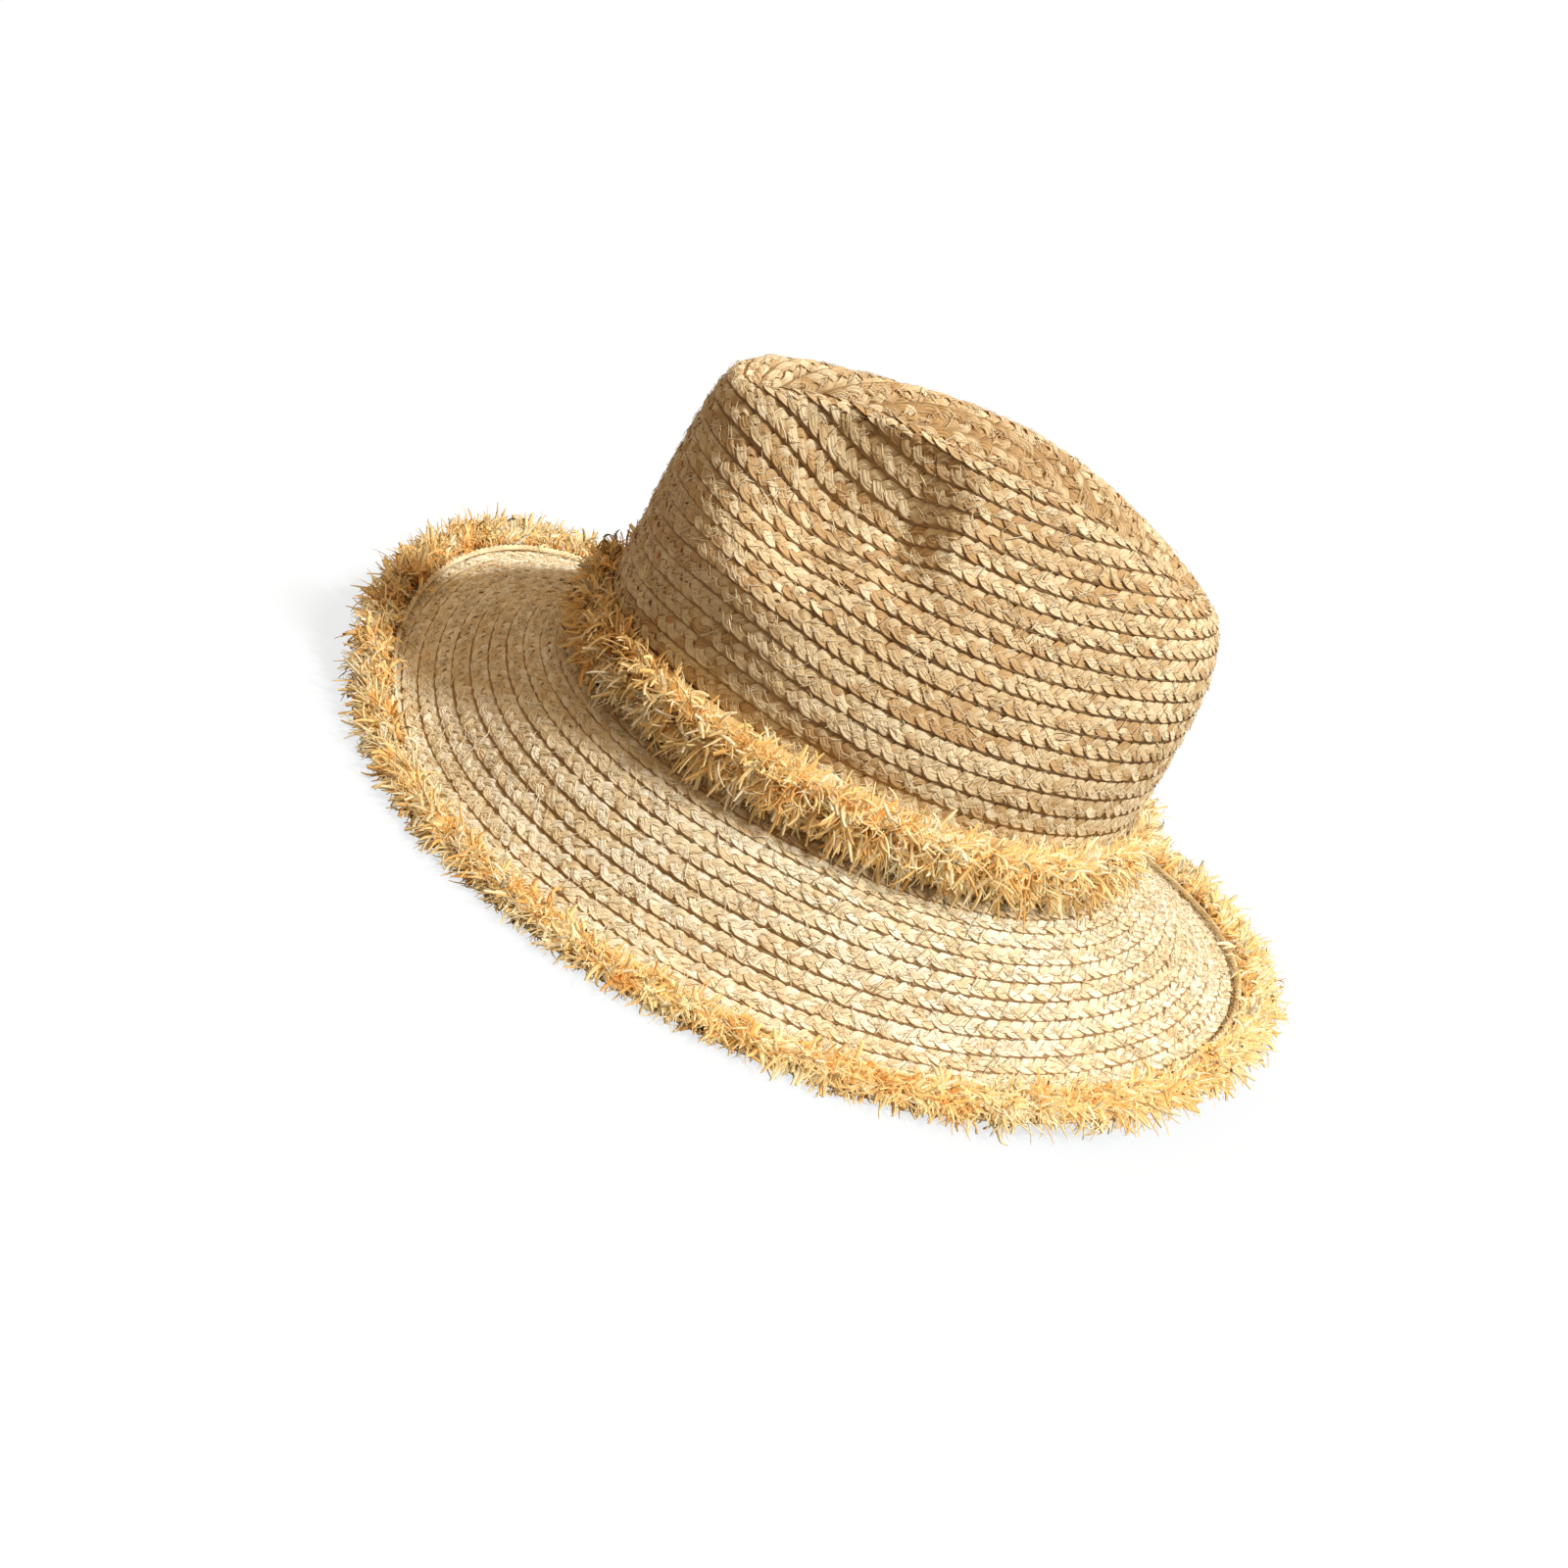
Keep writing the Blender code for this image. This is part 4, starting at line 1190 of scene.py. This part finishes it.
def band_fringe(name, node, side, rise_deg, seed, material):
    """Half of the band: tufts that fan up or down and out from the band's middle."""
    rng = np.random.default_rng(seed)
    round_angles = np.linspace(0.0, TURN, ROUND_STEPS + 1)
    middle = BAND_FOOT + BAND_HEIGHT / 2.0
    line = wall_point(round_angles, np.full_like(round_angles, middle), np.zeros_like(round_angles))
    perimeter = lengths_along(line)
    angle, tuft, tufts = tuft_angles(rng, round_angles, perimeter, BAND_TUFT_PITCH, BAND_TUFT_BLADES)
    count = len(angle)
    out, along, up = wall_frame(angle)
    height = middle + side * between(rng, BAND_ROOT_HEIGHTS, count)
    roots = wall_point(angle, height, BAND_THICKNESS + between(rng, BAND_ROOT_OUTS, count))
    out_share, along_share, up_share = tuft_aims(
        rng, tuft, tufts, rise_deg, BAND_RISE_UNEVEN_DEG, BAND_RISE_LIMITS_DEG, BAND_TURN_UNEVEN_DEG)
    aims = out * out_share + along * along_share + up * up_share * side
    length = between(rng, BAND_BLADE_LENGTHS, count)
    length = length * between(rng, BAND_TUFT_LENGTH_SHARES, tufts)[tuft]
    points = blade_lines(rng, roots, aims, length, between(rng, BAND_DROOPS, count))
    widths = blade_widths(rng, count, BLADE_STATIONS, BAND_BLADE_WIDTHS)
    facing = BLADE_FACING_UNEVEN * rng.standard_normal((count, 1, 3))
    facing = unit(facing + out[:, None] + BAND_FACING_UP * up[:, None])
    tones = tuft_tones(rng, tuft, tufts)
    hull = unit(aims + BAND_HULL_OUT * out + BAND_HULL_UP * up)
    piece = blade_piece(name, rng, points, widths, facing, tones, material, BLADE_FOLD, hull)
    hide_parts(node)


def brim_frame(angle, inset):
    """A point on the brim's face, and the directions out, along and square up from it."""
    point = brim_inset(angle, inset)
    step = 0.002
    along = unit(brim_inset(angle + step, inset) - brim_inset(angle - step, inset))
    out = unit(brim_inset(angle, inset - step / 4.0) - brim_inset(angle, inset + step / 4.0))
    return point, out, along, unit(np.cross(out, along))


def edge_fringe(name, node, inset, rise_deg, lengths, seed, material):
    """One row of tufts along the brim's edge, in two halves."""
    rng = np.random.default_rng(seed)
    round_angles = np.linspace(0.0, TURN, ROUND_STEPS + 1)
    line = brim_inset(round_angles, np.full_like(round_angles, EDGE_FLAT))
    perimeter = lengths_along(line)
    angle, tuft, tufts = tuft_angles(rng, round_angles, perimeter, EDGE_TUFT_PITCH, EDGE_TUFT_BLADES)
    count = len(angle)
    point, out, along, up = brim_frame(angle, inset + EDGE_INSET_UNEVEN * rng.standard_normal(count))
    roots = point + up * between(rng, EDGE_ROOT_HEIGHTS, count)[:, None]
    out_share, along_share, up_share = tuft_aims(
        rng, tuft, tufts, rise_deg, EDGE_RISE_UNEVEN_DEG, EDGE_RISE_LIMITS_DEG, EDGE_TURN_UNEVEN_DEG)
    aims = out * out_share + along * along_share + up * up_share
    length = between(rng, lengths, count) * between(rng, EDGE_TUFT_LENGTH_SHARES, tufts)[tuft]
    points = blade_lines(rng, roots, aims, length, between(rng, EDGE_DROOPS, count))
    points[..., 2] = np.maximum(points[..., 2], between(rng, EDGE_LOWEST, (count, 1)))
    widths = blade_widths(rng, count, BLADE_STATIONS, EDGE_BLADE_WIDTHS)
    facing = BLADE_FACING_UNEVEN * rng.standard_normal((count, 1, 3))
    facing = unit(facing + EDGE_FACING_UP * up[:, None])
    tones = tuft_tones(rng, tuft, tufts)
    hull = unit(aims + EDGE_HULL_OUT * out + EDGE_HULL_UP * up)
    for number, half in enumerate(np.array_split(np.arange(count), 2), 1):
        piece = blade_piece(
            f"{name}_{number}", rng, points[half], widths[half], facing[half], tones[half],
            material, BLADE_FOLD, hull[half],
        )
        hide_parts(node)


# Cord, tapes, ribbon and stitches

def header_cord(material):
    """Three plies twisted into the cord at the inner border of the brim's fringe."""
    angle = np.arange(CORD_STEPS) * TURN / CORD_STEPS
    inset = np.full(CORD_STEPS, EDGE_TAPE_WIDTH + SEAM_GAP + HEADER_DIAMETER / 2.0)
    point, out, _, up = brim_frame(angle, inset)
    middle = point + up * (HEADER_DIAMETER / 2.0 + SEAM_GAP)
    ply_radius = CORD_PLY_SHARE * HEADER_DIAMETER
    section = round_section(2.0 * ply_radius, CORD_SIDES)
    plies = []
    for ply in range(CORD_PLIES):
        twist = angle * CORD_TWISTS + ply * TURN / CORD_PLIES
        side = out * np.cos(twist)[:, None] + up * np.sin(twist)[:, None]
        line = middle + side * (HEADER_DIAMETER / 2.0 - ply_radius)
        plies.append(section_rings(line, -out, up, *section))
    place = join_place(*section, (angle * CORD_GRAIN_RUN)[None, :, None])
    piece = tube_piece(
        "brim_header_cord", np.stack(plies), material, closed=True, shape=4.0,
        place=place, tone=same(CORD_TONE), along=same(0.0),
    )
    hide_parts("brim_fringe_header")


def ring_piece(name, sections, material, shape):
    """A closed band from sections round the hat."""
    across = np.arange(sections.shape[1]) * RING_GRAIN_STEP
    run = np.linspace(0.0, RING_GRAIN_RUN, len(sections))[:, None]
    place = join_place(across, 0.0, run)[None]
    return tube_piece(name, sections[None], material, closed=True, shape=shape, place=place)


def band_tape(material):
    """The tape that carries the band's tufts."""
    angle = np.arange(ROUND_STEPS) * TURN / ROUND_STEPS
    top = BAND_FOOT + BAND_HEIGHT
    far = SEAM_GAP + BAND_THICKNESS
    corners = [
        wall_point(angle, np.full_like(angle, height), np.full_like(angle, out))
        for height, out in ((BAND_FOOT, SEAM_GAP), (top, SEAM_GAP), (top, far), (BAND_FOOT, far))
    ]
    piece = ring_piece("band_tape", np.stack(corners, axis=1), material, shape=6.0)
    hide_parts("band_core")


def sweatband(material):
    """Ribbed ribbon inside the head opening."""
    count = 2 * RIBBON_RIBS
    angle = np.arange(count) * TURN / count
    rib = RIB_HEIGHT * np.cos(np.arange(count) * pi)
    heights = np.linspace(RIBBON_FOOT, RIBBON_FOOT + RIBBON_HEIGHT, RIBBON_LINES)
    near = -STRAW_THICKNESS - RIBBON_CLEARANCE
    far = near - RIBBON_THICKNESS
    inner = [wall_point(angle, np.full(count, height), far + rib) for height in heights]
    outer = [wall_point(angle, np.full(count, height), near + rib) for height in heights[::-1]]
    piece = ring_piece("sweatband_ribbon", np.stack(inner + outer, axis=1), material, shape=10.0)
    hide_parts("sweatband")


def stitches(name, node, count, height, out, lift, material):
    """A running stitch: short lengths of thread that dip in at both ends."""
    middle = np.arange(count) * TURN / count
    share = np.linspace(-0.5, 0.5, STITCH_STATIONS)
    angle = middle[:, None] + STITCH_SHARE * TURN / count * share[None]
    rise = lift * (1.0 - (2.0 * share[None]) ** 4) + np.zeros_like(angle)
    points = wall_point(angle, np.full(angle.shape, height), out + rise)
    face, _, up = wall_frame(angle)
    section = round_section(THREAD_DIAMETER, THREAD_SIDES)
    rings = section_rings(points, up, face, *section)
    place = join_place(*section, angle[..., None])
    piece = tube_piece(name, rings, material, shape=2.0, place=place)
    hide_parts(node)


# Stage, lamps and camera

def seen_directly(tree):
    """1 for rays that show a surface to the camera, also by way of gloss or glass."""
    path = add_node(tree, "ShaderNodeLightPath")
    total = path.outputs["Is Camera Ray"]
    for name in ("Is Glossy Ray", "Is Transmission Ray"):
        either = add_node(tree, "ShaderNodeMath", operation="MAXIMUM")
        tree.links.new(total, either.inputs[0])
        tree.links.new(path.outputs[name], either.inputs[1])
        total = either.outputs["Value"]
    return total


def stage():
    mesh = bpy.data.meshes.new("floor")
    corners = [(x * FLOOR_HALF, y * FLOOR_HALF, 0.0) for x, y in ((-1, -1), (1, -1), (1, 1), (-1, 1))]
    mesh.from_pydata(corners, [], [(0, 1, 2, 3)])
    material, tree, shader = new_material("white_floor", roughness=0.9, specular=0.0)
    shader.inputs["Base Color"].default_value = FLOOR_GREY
    shader.inputs["Emission Color"].default_value = FLOOR_SEEN_COLOUR
    seen = map_range(tree, seen_directly(tree), 0.0, 1.0, 0.0, FLOOR_SEEN_STRENGTH)
    tree.links.new(seen, shader.inputs["Emission Strength"])
    mesh.materials.append(material)
    floor = bpy.data.objects.new("floor", mesh)
    bpy.context.scene.collection.objects.link(floor)
    world = bpy.data.worlds.new("studio")
    world.use_nodes = True
    bpy.context.scene.world = world
    tree = world.node_tree
    sky = colour_ramp(tree, seen_directly(tree), ((0.0, WORLD_LIGHT), (1.0, WHITE)))
    tree.links.new(sky, tree.nodes["Background"].inputs["Color"])


def sun(name, azimuth_deg, elevation_deg, strength, spread_deg, colour):
    lamp = bpy.data.lights.new(name, "SUN")
    lamp.energy = strength
    lamp.angle = radians(spread_deg)
    lamp.color = colour
    lamp_object = bpy.data.objects.new(name, lamp)
    bpy.context.scene.collection.objects.link(lamp_object)
    azimuth = radians(azimuth_deg)
    elevation = radians(elevation_deg)
    towards = Vector((sin(azimuth) * cos(elevation), -cos(azimuth) * cos(elevation), sin(elevation)))
    lamp_object.rotation_euler = towards.to_track_quat("Z", "Y").to_euler()


def camera():
    azimuth = radians(CAMERA_AZIMUTH_DEG)
    elevation = radians(CAMERA_ELEVATION_DEG)
    back = Vector((sin(azimuth) * cos(elevation), -cos(azimuth) * cos(elevation), sin(elevation)))
    level = Vector((cos(azimuth), sin(azimuth), 0.0))
    upright = back.cross(level)
    roll = radians(CAMERA_ROLL_DEG)
    up = upright * cos(roll) - level * sin(roll)
    right = up.cross(back)
    data = bpy.data.cameras.new("camera")
    data.sensor_width = CAMERA_SENSOR_MM
    data.lens = CAMERA_LENS_MM
    data.clip_end = CAMERA_REACH
    view = bpy.data.objects.new("camera", data)
    bpy.context.scene.collection.objects.link(view)
    view.matrix_world = Matrix.Translation(Vector(CAMERA_AIM) + back * CAMERA_DISTANCE) @ Matrix(
        (right, up, back)).transposed().to_4x4()
    bpy.context.scene.camera = view


def dress():
    fibres = raffia_fibre_group()
    # The straw's ramp on along paints shade deep in the plait
    straw = raffia_material("straw_plait", fibres, STRAW_TONES, STRAW_PAINTED_SHADE, STRAW_SHADE, roughness=0.62)
    # The fringe's ramp on along paints shade at the blades' roots
    raffia = raffia_material(
        "raffia_fringe", fibres, FRINGE_TONES, FRINGE_ROOT_SHADE, FRINGE_SHADE,
        roughness=0.6, clearness=FRINGE_CLEARNESS,
    )
    cord = raffia_material("fringe_header", fibres, STRAW_TONES, PLAIN_ENDS, STRAW_SHADE, roughness=0.6)
    weave = weave_group()
    tape = woven_material("fringe_tape", weave, TAPE_TONES, TAPE_WEAVE, roughness=0.75)
    ribbon = woven_material("sweatband_ribbon", weave, RIBBON_TONES, RIBBON_WEAVE, roughness=0.9)
    thread = woven_material("sewing_thread", weave, THREAD_TONES, THREAD_WEAVE, roughness=0.7)
    turns, lengths = plait(straw)
    plait_strip(turns, lengths, straw)
    loose_fibres(turns, lengths, straw)
    row_stitches(turns, lengths, thread)
    band_tape(tape)
    band_fringe("band_upper_fringe", "band_fringe_upper", 1.0, BAND_UPPER_RISE_DEG, 31, raffia)
    band_fringe("band_lower_fringe", "band_fringe_lower", -1.0, BAND_LOWER_RISE_DEG, 37, raffia)
    band_middle = BAND_FOOT + BAND_HEIGHT / 2.0
    band_face = BAND_THICKNESS + SEAM_GAP
    stitches("band_stitches", "band_thread", BAND_STITCHES, band_middle, band_face, BAND_STITCH_LIFT, thread)
    header_cord(cord)
    edge_fringe(
        "brim_inner_fringe", "brim_fringe_inner",
        inset=8.5 * MM, rise_deg=46.0, lengths=(7.0 * MM, 12.5 * MM), seed=41, material=raffia,
    )
    edge_fringe(
        "brim_outer_fringe", "brim_fringe_outer",
        inset=4.5 * MM, rise_deg=16.0, lengths=(7.5 * MM, 13.0 * MM), seed=43, material=raffia,
    )
    sweatband(ribbon)
    ribbon_face = -STRAW_THICKNESS - RIBBON_CLEARANCE - RIBBON_THICKNESS
    stitches(
        "sweatband_stitches", "sweatband_thread",
        RIBBON_STITCHES, THREAD_HEIGHT, ribbon_face, RIBBON_STITCH_LIFT, thread,
    )


dress()
stage()
sun(
    "key_lamp", azimuth_deg=152.0, elevation_deg=56.0,
    strength=3.6, spread_deg=6.0, colour=(0.97, 1.0, 1.05),
)
sun(
    "sky_lamp", azimuth_deg=0.0, elevation_deg=90.0,
    strength=1.2, spread_deg=140.0, colour=(1.0, 0.76, 0.53),
)
camera()
bpy.context.scene.view_settings.view_transform = "Standard"
